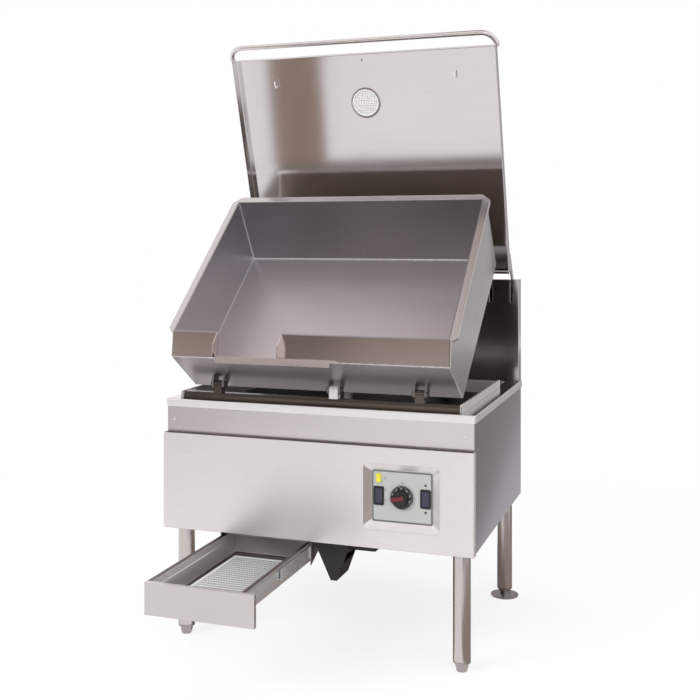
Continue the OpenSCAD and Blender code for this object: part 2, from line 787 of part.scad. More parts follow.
// Welded base: a floor sheet with a folded edge, an opening for the actuator and leg pads
base_fold = 30;
hole_w = 190;
hole_shift = 25;
hole_x = act_x + hole_shift;
hole_d = 2*vee_half_gap;
pad_t = 6;
pad_w = 70;
pad_front = min(pad_w/2, leg_front_y - 3*sheet_t);
module base_frame() {
    color("gray") in_frame() difference() {
        union() {
            difference() {
                block([-half_w + sheet_t, 2*sheet_t, base_z],
                    [cab_w - 2*sheet_t, cab_d - 4*sheet_t, base_fold]);
                block([-half_w + 2*sheet_t, 3*sheet_t, base_z + sheet_t],
                    [cab_w - 4*sheet_t, cab_d - 6*sheet_t, base_fold]);
            }
            for (sx = [-1, 1], y = leg_ys) translate([sx*leg_x, y, base_z + sheet_t])
                block([-pad_w/2, -pad_front, 0], [pad_w, pad_front + pad_w/2, pad_t]);
        }
        block([hole_x - hole_w/2, act_y - hole_d/2, base_z - over], [hole_w, hole_d, sheet_t + 2*over]);
    }
}

// REAR HOUSING AND LID HINGE

hinge_y = cab_d - hinge_back;
arm_t = 4;
hinge_x = lid_half_w - arm_gap/2 - arm_t/2;
arm_xs = [hinge_x - arm_gap/2, hinge_x + arm_gap/2];
slot_gap = 3;
slot_low = 44;
module rear_housing() {
    color("slategray") in_frame() difference() {
        block([-half_w, housing_y, deck_h], [cab_w, housing_d, housing_h]);
        block([-half_w + sheet_t, housing_y + sheet_t, deck_h - over],
            [cab_w - 2*sheet_t, housing_d - 2*sheet_t, housing_h + over - sheet_t]);
        for (sx = [-1, 1], x = arm_xs) translate([sx*x, 0, 0])
            block([-arm_t/2 - slot_gap, housing_y - over, deck_h + hinge_z - slot_low],
                [arm_t + 2*slot_gap, housing_d - 2*sheet_t + over, housing_h]);
    }
}

hinge_pin_d = 14;
bracket_t = 5;
bracket_gap = arm_gap - arm_t - 2*run_gap;
bracket_foot = 40;
module lid_hinge_brackets() {
    color("dimgray") in_frame() both_sides() translate([hinge_x, hinge_y, deck_h + hinge_z]) {
        for (s = [-1, 1]) translate([s*(bracket_gap/2 - bracket_t/2), 0, 0]) along_x(-bracket_t/2, bracket_t/2)
            union() {
                circle(pivot_r);
                translate([-pivot_r, -hinge_z/3]) square([2*pivot_r, hinge_z/3]);
            }
        block([-bracket_gap/2, hinge_back - sheet_t - bracket_t, -hinge_z/3],
            [bracket_gap, bracket_t, hinge_z/3 - 2*pivot_r]);
        rod_x(-arm_gap/2 - arm_t, arm_gap/2 + arm_t, hinge_pin_d);
    }
}

// Torsion springs that balance the lid, one unbroken coil round each hinge pin
spring_wire_d = 4;
spring_pitch = 5.5;
spring_turns = 8;
turn_steps = 8;
wire_sides = 6;
spring_r = hinge_pin_d/2 + spring_wire_d/2 + 2*run_gap;
spring_n = spring_turns*turn_steps;
function spring_point(i, j) =
    let (a = 360*i/turn_steps, b = 360*j/wire_sides, r = spring_r + spring_wire_d/2*cos(b))
        [spring_pitch*(i/turn_steps - spring_turns/2) + spring_wire_d/2*sin(b), r*cos(a), r*sin(a)];
function spring_middle(i) =
    let (a = 360*i/turn_steps) [spring_pitch*i/turn_steps, spring_r*cos(a), spring_r*sin(a)];
echo(spring_gap = min([for (i = [0:turn_steps], j = [turn_steps/2:2*turn_steps])
    norm(spring_middle(i + j) - spring_middle(i))]) - spring_wire_d);
module lid_springs() {
    color("silver") in_frame() both_sides() translate([hinge_x, hinge_y, deck_h + hinge_z])
        polyhedron(
            [for (i = [0:spring_n], j = [0:wire_sides - 1]) spring_point(i, j)],
            [for (i = [0:spring_n - 1], j = [0:wire_sides - 1], k = [0, 1])
                let (a = i*wire_sides + j, b = i*wire_sides + (j + 1)%wire_sides)
                    k == 0 ? [a, b, b + wire_sides] : [a, b + wire_sides, a + wire_sides],
            for (j = [1:wire_sides - 2]) [0, j + 1, j],
            for (j = [1:wire_sides - 2]) spring_n*wire_sides*[1, 1, 1] + [0, j, j + 1]]);
}

// LID

// Distances of the rear fold from the hinge axis, along the open lid and towards its underside
lid_up = 72;
lid_in = 34;
// Lid frame: X right, Y from the rear fold to the front edge, Z towards the outer face
module in_lid() {
    in_frame() translate([0, hinge_y, deck_h + hinge_z]) rotate([90 + lid_lean, 0, 0])
        translate([0, lid_up, lid_in]) mirror([0, 0, 1]) children();
}

module lid_panel() {
    color("silver") in_lid() difference() {
        union() {
            block([-lid_half_w, 0, 0], [2*lid_half_w, lid_l, lid_t]);
            both_sides() block([lid_half_w - lid_t, 0, -skirt_h], [lid_t, lid_l, skirt_h + over/2]);
            block([-lid_half_w, lid_l - lid_t, -skirt_h], [2*lid_half_w, lid_t, skirt_h + over/2]);
            block([-lid_half_w, 0, -rear_fold_h], [2*lid_half_w, lid_t, rear_fold_h + over/2]);
        }
        translate([0, vent_s, -over]) cylinder(d = vent_d - 2*vent_lap, h = lid_t + 2*over);
    }
}
vent_lap = 8;

// Steam vent: a clamping ring with a perforated shield behind it
vent_ring_t = 3;
vent_slots = 12;
module lid_vent() {
    color("white") in_lid() translate([0, vent_s, 0]) difference() {
        union() {
            translate([0, 0, -vent_ring_t]) cylinder(d = vent_d, h = vent_ring_t);
            cylinder(d = vent_d - 2*vent_lap - 2*run_gap, h = lid_t + vent_ring_t);
        }
        for (i = [0:vent_slots - 1]) rotate([0, 0, i*360/vent_slots])
            translate([0, vent_d/4, -vent_ring_t - over])
                cylinder(d = vent_lap, h = 2*vent_ring_t + lid_t + 2*over);
    }
}

// Handle: a tube across the front edge, bent back to the skirt at both ends
handle_out = 49;
handle_drop = 17;
handle_tilt = 29;
handle_r = 46;
handle_wide = 2;
handle_half = lid_half_w + handle_wide;
module handle_end() {
    translate([handle_half - handle_r, handle_out - handle_r, 0])
        rotate_extrude(angle = 90) translate([handle_r, 0]) circle(d = handle_d);
    translate([handle_half, -handle_d, 0]) rotate([-90, 0, 0])
        cylinder(d = handle_d, h = handle_out - handle_r + handle_d);
}
module lid_handle() {
    color("gainsboro") in_lid() difference() {
        translate([0, lid_l, -handle_drop]) rotate([-handle_tilt, 0, 0]) {
            translate([0, handle_out, 0])
                rod_x(-handle_half + handle_r, handle_half - handle_r, handle_d);
            both_sides() handle_end();
        }
        block([-half_w, lid_l - 2*handle_out, -2*handle_out], [cab_w, 2*handle_out, 4*handle_out]);
    }
}

// Two small hooks on the inner face, for the strainer
hook_in = 135;
hook_x = lid_half_w - hook_in;
hook_s = 638;
hook_t = 4;
hook_l = 22;
hook_out = 14;
module lid_hooks() {
    color("gray") in_lid() both_sides() translate([hook_x, hook_s, 0]) {
        block([-hook_t/2, -hook_t, -hook_out], [hook_t, hook_t, hook_out]);
        block([-hook_t/2, -hook_t, -hook_out - hook_t], [hook_t, hook_l, hook_t]);
    }
}

// Two pairs of arms that carry the lid on the hinge pins
strap_l = 60;
strap_h = 8;
module lid_arms() {
    color("dimgray") in_frame() both_sides() translate([0, hinge_y, deck_h + hinge_z])
        rotate([90 + lid_lean, 0, 0]) for (x = arm_xs) translate([x, 0, 0]) difference() {
            union() {
                rod_x(-arm_t/2, arm_t/2, 2*pivot_r);
                along_x(-arm_t/2, arm_t/2)
                    polygon([[-pivot_r*sin(ear_slope), pivot_r*cos(ear_slope)], [lid_up, lid_in - lid_t],
                        [lid_up + strap_l, lid_in - lid_t], [lid_up + strap_l, lid_in - lid_t - strap_h],
                        [pivot_r*sin(ear_slope), -pivot_r*cos(ear_slope)]]);
            }
            rod_x(-arm_t, arm_t, hinge_pin_d + 2*pin_gap);
        }
}

// CONTROLS

plate_t = 2;
module control_plate() {
    color("lightgray") in_frame() at_controls(dish_depth - plate_t) difference() {
        linear_extrude(plate_t) round_rect(plate_w - 2*run_gap, plate_h - 2*run_gap, plate_r);
        for (s = [-1, 1]) translate([s*rocker_gap, 0, -over]) linear_extrude(plate_t + 2*over)
            square([rocker_w, rocker_h], center = true);
        translate([0, 0, -over]) cylinder(d = shaft_d + 2*pin_gap, h = plate_t + 2*over);
        translate([-rocker_gap, -pilot_up, -over]) linear_extrude(plate_t + 2*over)
            square([pilot_w, pilot_h], center = true);
    }
}
shaft_d = 8;
pilot_up = 48;
pilot_w = 13;
pilot_h = 24;
pilot_proud = 4;
box_t = 1.5;
box_w = 164;
box_h = 130;
box_d = 70;

module control_box() {
    color("gray") in_frame() at_controls(dish_depth + sheet_t) difference() {
        translate([-box_w/2, -box_h/2, 0]) cube([box_w, box_h, box_d]);
        translate([-box_w/2 + box_t, -box_h/2 + box_t, -over])
            cube([box_w - 2*box_t, box_h - 2*box_t, box_d + over - box_t]);
    }
}

module pilot_light() {
    color("yellow") in_frame() at_controls(dish_depth - plate_t) translate([-rocker_gap, -pilot_up, 0]) {
        translate([0, 0, -pilot_proud]) linear_extrude(pilot_proud + plate_t)
            round_rect(pilot_w, pilot_h, pilot_w/4);
        linear_extrude(plate_t + sheet_t + box_t) square([pilot_w - over, pilot_h - over], center = true);
    }
}

frame_w = 2;
frame_proud = 2;
switch_depth = 26;
module switch_frames() {
    color("black") in_frame() at_controls(dish_depth - plate_t)
        for (s = [-1, 1]) translate([s*rocker_gap, 0, 0]) difference() {
            union() {
                translate([0, 0, -frame_proud]) linear_extrude(frame_proud)
                    round_rect(rocker_w + 2*frame_w, rocker_h + 2*frame_w, frame_w*2);
                linear_extrude(switch_depth)
                    square([rocker_w - run_gap, rocker_h - run_gap], center = true);
            }
            translate([0, 0, -frame_proud - over]) linear_extrude(switch_depth)
                square([rocker_w - 2*frame_w, rocker_h - 2*frame_w], center = true);
        }
}

rocker_depth = 12;
rocker_proud = 4;
// A rocker with a hollow face, turned about its middle
module rocker(s) {
    color([0.25, 0.26, 0.33]) in_frame() at_controls(dish_depth - plate_t)
        translate([s*rocker_gap, 0, frame_proud])
            rotate([0, 90, 0]) translate([0, 0, -rocker_w/2 + frame_w + run_gap])
                linear_extrude(rocker_w - 2*frame_w - 2*run_gap) difference() {
                    intersection() {
                        circle(rocker_h/2 - frame_w - run_gap);
                        translate([-rocker_depth/2 + frame_proud + rocker_proud - run_gap, 0])
                            square([2*rocker_depth, rocker_h], center = true);
                    }
                    translate([2*rocker_h + frame_proud + rocker_proud/2, 0]) circle(2*rocker_h);
                }
}
module power_rocker() { rocker(-1); }
module tilt_rocker() { rocker(1); }

module thermostat_body() {
    color("gray") in_frame() at_controls(dish_depth - plate_t) {
        translate([0, 0, -shaft_out]) cylinder(d = shaft_d, h = shaft_out + switch_depth);
        translate([0, 0, switch_depth]) cylinder(d = dial_d*body_share, h = switch_depth);
    }
}
shaft_out = 14;
body_share = 0.7;
dial_gap = 1;
dial_h = 7;
knob_h = 18;
knob_bar_w = 12;
dial_share = 0.62;
module thermostat_dial() {
    color("black") in_frame() at_controls(dish_depth - plate_t) mirror([0, 0, 1]) translate([0, 0, dial_gap])
        difference() {
            union() {
                cylinder(d = dial_d, h = dial_h);
                cylinder(d = dial_d*dial_share, h = knob_h - dial_h/2);
                translate([-dial_d*dial_share/2, -knob_bar_w/2, 0])
                    cube([dial_d*dial_share, knob_bar_w, knob_h]);
            }
            translate([0, 0, -over]) cylinder(d = shaft_d + 2*pin_gap, h = shaft_out - dial_gap + 2*over);
        }
}

// DRAWER AND SLIDES

drawer_top = base_z - drawer_gap;
drawer_bottom = drawer_top - drawer_h;
drawer_front_y = front_y - drawer_out;
slide_w = 13;
slide_gap = 1;
tray_margin = 10;
tray_half_w = drawer_w/2 - slide_w - 2*slide_gap - tray_margin;
tray_x = drawer_x + tray_shift;
tray_wall = 1.5;
tray_h = 66;
front_t = 12;
module at_drawer(x) { in_frame() translate([-x, drawer_front_y, drawer_bottom]) children(); }

module drawer_front() {
    color("silver") at_drawer(drawer_x) difference() {
        block([-drawer_w/2, 0, 0], [drawer_w, front_t, drawer_h]);
        block([-drawer_w/2 + tray_wall, tray_wall, -over],
            [drawer_w - 2*tray_wall, front_t - 2*tray_wall, drawer_h + over - tray_wall]);
    }
}

tray_rim = 9;
tray_z = drawer_h - tray_h - tray_wall;
module drawer_tray() {
    color("rosybrown") at_drawer(tray_x) translate([0, front_t, tray_z]) difference() {
        block([-tray_half_w, 0, 0], [2*tray_half_w, tray_l - front_t, tray_h]);
        block([-tray_half_w + tray_wall, tray_wall, tray_wall],
            [2*(tray_half_w - tray_wall), tray_l - front_t - 2*tray_wall, tray_h]);
    }
}

strainer_in = 58;
strainer_l = 330;
strainer_w = 170;
strainer_x = 14;
strainer_z = 26;
strainer_edge = 12;
module drawer_strainer() {
    nx = floor((strainer_w - 2*strainer_edge)/strainer_pitch);
    ny = floor((strainer_l - 2*strainer_edge)/strainer_pitch);
    color("white") at_drawer(tray_x) translate([strainer_x - strainer_w/2, strainer_in, tray_z + tray_wall]) {
        difference() {
            cube([strainer_w, strainer_l, strainer_z]);
            block([tray_wall, tray_wall, -over],
                [strainer_w - 2*tray_wall, strainer_l - 2*tray_wall, strainer_z + over - tray_wall]);
            translate([strainer_w/2, strainer_l/2, strainer_z])
                for (i = [0:nx - 1], j = [0:ny - 1])
                    translate([(i - (nx - 1)/2)*strainer_pitch, (j - (ny - 1)/2)*strainer_pitch, 0])
                        cube([strainer_hole_d, strainer_hole_d, 4*tray_wall], center = true);
        }
    }
}

// Telescopic slides: an outer channel on the cabinet, a middle channel and an inner channel
slide_h = 32;
slide_l = 450;
slide_t = 1.5;
slide_fit = 0.4;
slide_drop = 10;
slide_z = drawer_top - slide_drop - slide_h;
slide_step = slide_t + slide_fit;
slide_y0 = 10;
module channel(k, y0) {
    h = slide_h - 2*k*slide_step;
    d = slide_w - k*slide_step;
    translate([slide_w - d, y0, slide_z + k*slide_step]) rotate([90, 0, 0]) translate([0, 0, -slide_l])
        linear_extrude(slide_l) difference() {
            square([d - slide_fit, h]);
            translate([-over, slide_t]) square([d + over - slide_fit - slide_t, h - 2*slide_t]);
        }
}
// Places the right or the left slide, with its open side towards the drawer
module slide(side) {
    in_frame() translate([-tray_x, 0, 0]) mirror([side == "left" ? 1 : 0, 0, 0])
        translate([tray_half_w + slide_gap, 0, 0]) children();
}
module slide_outer_right() { color("white") slide("right") channel(0, slide_y0); }
module slide_outer_left() { color("white") slide("left") channel(0, slide_y0); }
module slide_middle_right() { color("white") slide("right") middle_channel(); }
module slide_middle_left() { color("white") slide("left") middle_channel(); }
module middle_channel() {
    translate([-slide_step, -drawer_out/2, 0]) channel(1, slide_y0);
}
module inner_bar() {
    h = slide_h - 4*slide_step - 2*slide_fit;
    block([-slide_gap, slide_y0 - drawer_out, slide_z + 2*slide_step + slide_fit],
        [slide_w - 3*slide_step - 2*slide_fit, slide_l, h]);
}
module slide_inner_right() { color("white") slide("right") inner_bar(); }
module slide_inner_left() { color("white") slide("left") inner_bar(); }

// Gusseted hangers that carry the outer channels under the cabinet
hanger_t = 3;
hanger_share = 0.62;
hanger_h = 75;
gusset_l = 124;
module drawer_hangers() {
    color("gray") for (side = ["left", "right"]) slide(side) translate([slide_w - slide_fit, slide_y0, 0])
        along_x(0, hanger_t) polygon([[0, base_z], [0, base_z - hanger_h],
            [gusset_l/2, base_z - hanger_h*hanger_share], [slide_l - gusset_l/2, base_z - hanger_h*hanger_share],
            [slide_l, base_z - hanger_h], [slide_l, base_z]]);
}

deck();
splash_rail_left();
splash_rail_right();
well_trough();
pivot_beam();
pivot_blocks();
front_fascia();
cabinet_screws();
front_panel();
side_panel_left();
side_panel_right();
rear_panel();
base_frame();
rear_housing();
lid_hinge_brackets();
lid_springs();
leg_front_left();
leg_front_right();
leg_rear_left();
leg_rear_right();
bullet_feet();
flanged_foot_left();
flanged_foot_right();
control_box();
control_plate();
pilot_light();
switch_frames();
power_rocker();
tilt_rocker();
thermostat_body();
thermostat_dial();
drawer_hangers();
slide_outer_left();
slide_outer_right();
slide_middle_left();
slide_middle_right();
slide_inner_left();
slide_inner_right();
drawer_tray();
drawer_front();
drawer_strainer();
actuator_bracket();
actuator_body();
actuator_motor();
actuator_rod();
pan_shell();
pan_rim();
pan_end_left();
pan_end_right();
pan_casing();
heating_elements();
pour_lip();
pan_hinge_ears();
pivot_pins();
pan_clevis();
lid_panel();
lid_handle();
lid_vent();
lid_hooks();
lid_arms();
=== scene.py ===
import json
import math

import bmesh
import bpy
from mathutils import Matrix, Vector


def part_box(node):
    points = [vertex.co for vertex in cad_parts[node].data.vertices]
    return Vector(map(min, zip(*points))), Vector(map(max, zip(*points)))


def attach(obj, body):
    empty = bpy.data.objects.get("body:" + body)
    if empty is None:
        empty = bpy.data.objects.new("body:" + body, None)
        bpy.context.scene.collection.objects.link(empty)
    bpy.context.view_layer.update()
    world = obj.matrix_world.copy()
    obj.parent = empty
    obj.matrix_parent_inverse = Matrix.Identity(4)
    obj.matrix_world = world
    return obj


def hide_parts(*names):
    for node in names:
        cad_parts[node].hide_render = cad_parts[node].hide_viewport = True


# STUDIO
# A white studio with a pale floor. The camera stands in front and to the right,
# at the height of the pan, and looks level. Cards that only show in reflections
# give the steel its light and dark bands.
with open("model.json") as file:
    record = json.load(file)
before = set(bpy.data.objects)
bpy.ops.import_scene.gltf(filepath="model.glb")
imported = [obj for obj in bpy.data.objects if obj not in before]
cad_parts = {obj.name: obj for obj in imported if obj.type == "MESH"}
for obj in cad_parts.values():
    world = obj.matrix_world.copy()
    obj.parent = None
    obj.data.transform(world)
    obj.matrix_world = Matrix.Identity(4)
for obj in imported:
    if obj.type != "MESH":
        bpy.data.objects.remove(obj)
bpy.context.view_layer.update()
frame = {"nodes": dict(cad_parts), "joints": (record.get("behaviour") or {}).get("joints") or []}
nodes = frame["nodes"]
scene = bpy.context.scene
scene.view_settings.view_transform = "Standard"

camera = bpy.data.objects.new("camera", bpy.data.cameras.new("camera"))
scene.collection.objects.link(camera)
scene.camera = camera
camera.location = (1.026, -2.8025, 1.1535)
camera.rotation_euler = (math.radians(90), 0, math.radians(19.07))
camera.data.lens = 52.9
camera.data.sensor_width = 36
camera.data.shift_y = -0.159
camera.data.clip_end = 60


def plug(tree, socket, value):
    """Sets a socket to a value, or links a node or another socket to it"""
    if isinstance(value, bpy.types.Node):
        value = value.outputs[0]
    if isinstance(value, bpy.types.NodeSocket):
        tree.links.new(value, socket)
    else:
        socket.default_value = value


def node_maker(tree):
    """A function that adds a node to a tree, with the values or links of its inputs and its modes"""
    def make(kind, values=(), **modes):
        node = tree.nodes.new(kind)
        for key, value in modes.items():
            setattr(node, key, value)
        for key, value in dict(values).items():
            plug(tree, node.inputs[key], value)
        return node

    return make


def shader(name):
    """A new material, its node maker and its principled shader"""
    mat = bpy.data.materials.new(name)
    mat.use_nodes = True
    return mat, node_maker(mat.node_tree), mat.node_tree.nodes["Principled BSDF"]


def feed(base, **values):
    """Sets or links inputs of a shader"""
    for key, value in values.items():
        plug(base.id_data, base.inputs[key.replace("_", " ")], value)


def show(mat, last):
    """Puts a shader on the output of a material"""
    out = next(n for n in mat.node_tree.nodes if n.type == "OUTPUT_MATERIAL")
    mat.node_tree.links.new(last.outputs[0], out.inputs["Surface"])


def pale_floor():
    """Near the object the floor takes its shadow; further away it runs into the white"""
    mat, make, base = shader("pale_floor")
    feed(base, Base_Color=(0.86, 0.85, 0.85, 1), Roughness=0.9, Specular_IOR_Level=0.1)
    where = make("ShaderNodeTexCoord")
    away = make("ShaderNodeVectorMath", {0: where.outputs["Object"]}, operation="LENGTH")

    def fading(near, far):
        return make("ShaderNodeMapRange", {"Value": away.outputs["Value"], "From Min": 0.9, "From Max": 2.6,
                                           "To Min": near, "To Max": far}, interpolation_type="SMOOTHSTEP")

    glow = make("ShaderNodeEmission", {"Color": (1, 1, 1, 1), "Strength": fading(0.80, 1.0)})
    shadow = make("ShaderNodeBsdfDiffuse", {"Color": fading(0.27, 0.0)})
    seen = make("ShaderNodeAddShader", {0: glow, 1: shadow})
    mirrored = make("ShaderNodeEmission", {"Color": (1, 0.965, 0.97, 1), "Strength": 0.9})
    path = make("ShaderNodeLightPath")
    bounced = make("ShaderNodeMixShader", {0: path.outputs["Is Glossy Ray"], 1: base, 2: mirrored})
    show(mat, make("ShaderNodeMixShader", {0: path.outputs["Is Camera Ray"], 1: bounced, 2: seen}))
    return mat


def sheet_of_studio(name, corners, mat):
    """A flat sheet of the studio"""
    me = bpy.data.meshes.new(name)
    me.from_pydata(corners, [], [range(len(corners))])
    ob = bpy.data.objects.new(name, me)
    scene.collection.objects.link(ob)
    me.materials.append(mat)
    return ob


sheet_of_studio("floor", [(-12, -12, 0), (12, -12, 0), (12, 12, 0), (-12, 12, 0)], pale_floor())


def card(name, corners, colour):
    """A studio card that only shows in reflections, from the side its corners run counterclockwise"""
    mat, make = shader(name)[:2]
    glow = make("ShaderNodeEmission", {"Color": (*colour, 1), "Strength": 1})
    side = make("ShaderNodeNewGeometry").outputs["Backfacing"]
    show(mat, make("ShaderNodeMixShader", {0: side, 1: glow, 2: make("ShaderNodeBsdfTransparent")}))
    ob = sheet_of_studio(name, corners, mat)
    ob.visible_camera = ob.visible_diffuse = ob.visible_shadow = False


def rectangle(x0, x1, y0, y1):
    """Four corners, counterclockwise"""
    return [(x0, y0), (x1, y0), (x1, y1), (x0, y1)]


def lying(name, corners, height, colour):
    """A level card that faces up"""
    card(name, [(x, y, height) for x, y in corners], colour)


def hanging(name, corners, height, colour):
    """A level card that faces down"""
    lying(name, corners[::-1], height, colour)


def standing(name, x0, x1, y, z0, z1, colour):
    """A card in front of the object that faces it"""
    card(name, [(x0, y, z0), (x0, y, z1), (x1, y, z1), (x1, y, z0)], colour)


above_deck, above_well, on_ground, below_object = 0.72, 0.703, 0.002, 0.003
hanging("ceiling_card", rectangle(-6, 6, -5, 6), 4.6, (0.84, 0.79, 0.79))
lying("brown_card", [(-1.51, -2.3), (-1.162, -2.3), (-0.62, -0.68), (-0.885, -0.68)], above_deck,
      (0.29, 0.205, 0.17))
lying("white_card", [(-2.4, -2.3), (-1.512, -2.3), (-0.887, -0.68), (-1.7, -0.68)], above_deck,
      (0.90, 0.88, 0.89))
lying("left_floor_card", rectangle(-4.5, -1.6, -6, -1.5), on_ground, (0.50, 0.45, 0.435))
lying("shade_card", rectangle(-0.86, 0.6, -0.71, -0.33), above_deck, (0.19, 0.16, 0.145))
lying("well_card", rectangle(-0.30, 0.42, -0.152, -0.04), above_well, (0.30, 0.28, 0.285))
lying("well_left_card", rectangle(-0.42, -0.30, -0.152, -0.04), above_well, (0.52, 0.48, 0.48))
lying("under_card", rectangle(-0.95, 0.46, -0.10, 0.9), below_object, (0.17, 0.135, 0.12))
lying("leg_card", rectangle(0.46, 1.5, -0.55, 0.9), below_object, (0.30, 0.25, 0.225))
lying("side_card", [(0.68, 0.9), (6, 0.9), (6, 8), (1.45, 8)], below_object, (0.24, 0.215, 0.215))
lying("side_far_card", [(0.30, 0.9), (0.68, 0.9), (1.45, 8), (0.30, 8)], below_object, (0.50, 0.485, 0.515))
card("back_card", [(-4, 9, 0), (9, 9, 0), (9, 9, 6), (-4, 9, 6)], (0.42, 0.40, 0.41))
standing("brown_wall_card", -5, 1.2, -6, 0.9, 3.2, (0.27, 0.20, 0.165))
standing("dark_wall_card", -2.7, -1.95, -5.9, 0.5, 3.2, (0.06, 0.035, 0.03))
card("rim_card", [(1.4, 2, 4.5), (1.4, -1, 4.5), (-0.42, -1, 4.5), (-0.42, 2, 4.5)], (0.30, 0.235, 0.21))
lying("recess_card", rectangle(0.9, 2.9, -2.6, -0.8), on_ground, (0.10, 0.07, 0.055))


def softbox(name, place, aim, size, power, colour=(1, 1, 1)):
    """A large soft lamp at place, turned to aim"""
    lamp = bpy.data.lights.new(name, "AREA")
    lamp.shape = "RECTANGLE"
    lamp.size, lamp.size_y = size
    lamp.energy = power
    lamp.color = colour
    ob = bpy.data.objects.new(name, lamp)
    scene.collection.objects.link(ob)
    ob.location = place
    ob.rotation_euler = (Vector(aim) - Vector(place)).to_track_quat("-Z", "Y").to_euler()
    ob.visible_glossy = False


softbox("key_light", (-2.6, -3.6, 3.2), (0, 0, 0.7), (2.4, 1.8), 105)
softbox("fill_light", (2.8, -3.0, 2.4), (0, 0.1, 0.6), (2.2, 1.8), 46, (1, 0.98, 0.97))
softbox("top_light", (0, 0.2, 4.2), (0, 0, 0.6), (3, 3), 52)


def white_air():
    """A world that lights the object softly and shows white to the camera, in gloss and through glass"""
    world = bpy.data.worlds.new("studio")
    world.use_nodes = True
    make = node_maker(world.node_tree)
    backdrop = world.node_tree.nodes["Background"]
    seen = make("ShaderNodeLightPath").outputs
    level = seen["Is Camera Ray"]
    for kind in ("Is Glossy Ray", "Is Transmission Ray"):
        level = make("ShaderNodeMath", {0: level, 1: seen[kind]}, operation="MAXIMUM")
    feed(backdrop, Color=(1, 1, 1, 1),
         Strength=make("ShaderNodeMapRange", {"Value": level, "To Min": 0.42, "To Max": 1}))
    return world


scene.world = white_air()


# SIDE, REAR AND BASE SHEETS
# Brushed stainless sheet with folded edges, spot-welded to a folded base frame.
# The grain of the side panels runs from front to back.
def brushed(name, colour, rough, grain, depth=0.3, cloud=0.03, fleck=0.3, skew=0.45, lean=0.0, metal=1.0):
    """Brushed stainless steel; grain is how fine its pattern is along X, Y and Z, and lean tips it back, in
    degrees. Depth is the strength of its bump, cloud of its slow changes, fleck of its hairs, and skew of its
    sheen along the grain."""
    mat, make, base = shader(name)
    where = make("ShaderNodeTexCoord").outputs["Object"]
    where = make("ShaderNodeMapping", {"Vector": where, "Rotation": (math.radians(-lean), 0, 0)}).outputs[0]
    fine = make("ShaderNodeMapping", {"Vector": where, "Scale": grain})
    hair = make("ShaderNodeTexNoise", {"Vector": fine, "Scale": 1, "Detail": 5, "Roughness": 0.7})
    coarse = make("ShaderNodeMapping", {"Vector": where, "Scale": [0.11 * g + 0.6 for g in grain]})
    streak = make("ShaderNodeTexNoise", {"Vector": coarse, "Scale": 1, "Detail": 4, "Roughness": 0.6})
    smear = make("ShaderNodeTexNoise", {"Vector": where, "Scale": 3.1, "Detail": 3})

    def spread(source, low, high, middle, reach):
        return make("ShaderNodeMapRange", {"Value": source, "From Min": low, "From Max": high,
                                           "To Min": middle * (1 - reach), "To Max": middle * (1 + reach)})

    slow = make("ShaderNodeMath", {0: spread(smear, 0.3, 0.7, 1, cloud),
                                   1: spread(hair, 0.25, 0.75, 1, 0.16 * fleck)}, operation="MULTIPLY")
    shade = make("ShaderNodeMath", {0: slow, 1: spread(streak, 0.3, 0.7, 1, 0.05 * fleck)},
                 operation="MULTIPLY")
    tint = make("ShaderNodeMix", {"Factor": 1, "A": (*colour, 1), "B": shade}, data_type="RGBA",
                blend_type="MULTIPLY")
    bump = make("ShaderNodeBump", {"Strength": depth * 0.12, "Distance": 0.0004, "Height": hair})
    turn = make("ShaderNodeTangent", direction_type="RADIAL", axis="Z")
    feed(base, Base_Color=tint.outputs["Result"], Roughness=spread(hair, 0.25, 0.75, rough, 0.12),
         Normal=bump, Metallic=metal, Anisotropic=skew, Anisotropic_Rotation=0.25, Tangent=turn)
    return mat


def dress(ob, mat):
    """Gives an object one finish"""
    ob.data.materials.clear()
    ob.data.materials.append(mat)


def settle(ob):
    """Turns an object with its modifiers into a plain mesh at the origin"""
    bpy.context.view_layer.update()
    shape = bpy.data.meshes.new_from_object(ob.evaluated_get(bpy.context.evaluated_depsgraph_get()))
    shape.transform(ob.matrix_world)
    name = ob.name
    bpy.data.objects.remove(ob)
    done = bpy.data.objects.new(name, shape)
    scene.collection.objects.link(done)
    return done


def piece(name, verts, faces, edges=(), place=None):
    """A new mesh object, its points moved to their place"""
    me = bpy.data.meshes.new(name)
    me.from_pydata([tuple(v) for v in verts], edges, faces)
    if place is not None:
        me.transform(place)
    ob = bpy.data.objects.new(name, me)
    scene.collection.objects.link(ob)
    return ob


def soften(ob, radius, steps=2, angle=30):
    """Rounds the folded edges"""
    for p in ob.data.polygons:
        p.use_smooth = True
    edge = ob.modifiers.new("edge", "BEVEL")
    edge.width = radius
    edge.segments = steps
    edge.limit_method = "ANGLE"
    edge.angle_limit = math.radians(angle)
    edge.harden_normals = True
    return settle(ob)


def outline_of(node, same_point=2e-6, same_plane=0.6):
    """The solid of a node with its triangles joined into flat faces"""
    bm = bmesh.new()
    bm.from_mesh(nodes[node].data)
    bmesh.ops.remove_doubles(bm, verts=bm.verts, dist=same_point)
    bmesh.ops.dissolve_limit(bm, angle_limit=math.radians(same_plane), verts=bm.verts, edges=bm.edges)
    bm.verts.ensure_lookup_table()
    verts = [v.co.copy() for v in bm.verts]
    faces = [[v.index for v in f.verts] for f in bm.faces]
    bm.free()
    return verts, faces


def fit(ob, body, mat=None, node=None):
    """Hangs a piece on its body, in place of a node where one is named"""
    if mat is not None:
        dress(ob, mat)
    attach(ob, body)
    if node is not None:
        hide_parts(node)
    return ob


def folded(node, body, mat, radius=0.0008, steps=2, angle=30):
    """A node's piece with rounded edges"""
    return fit(soften(piece(node + "_piece", *outline_of(node)), radius, steps, angle), body, mat, node)


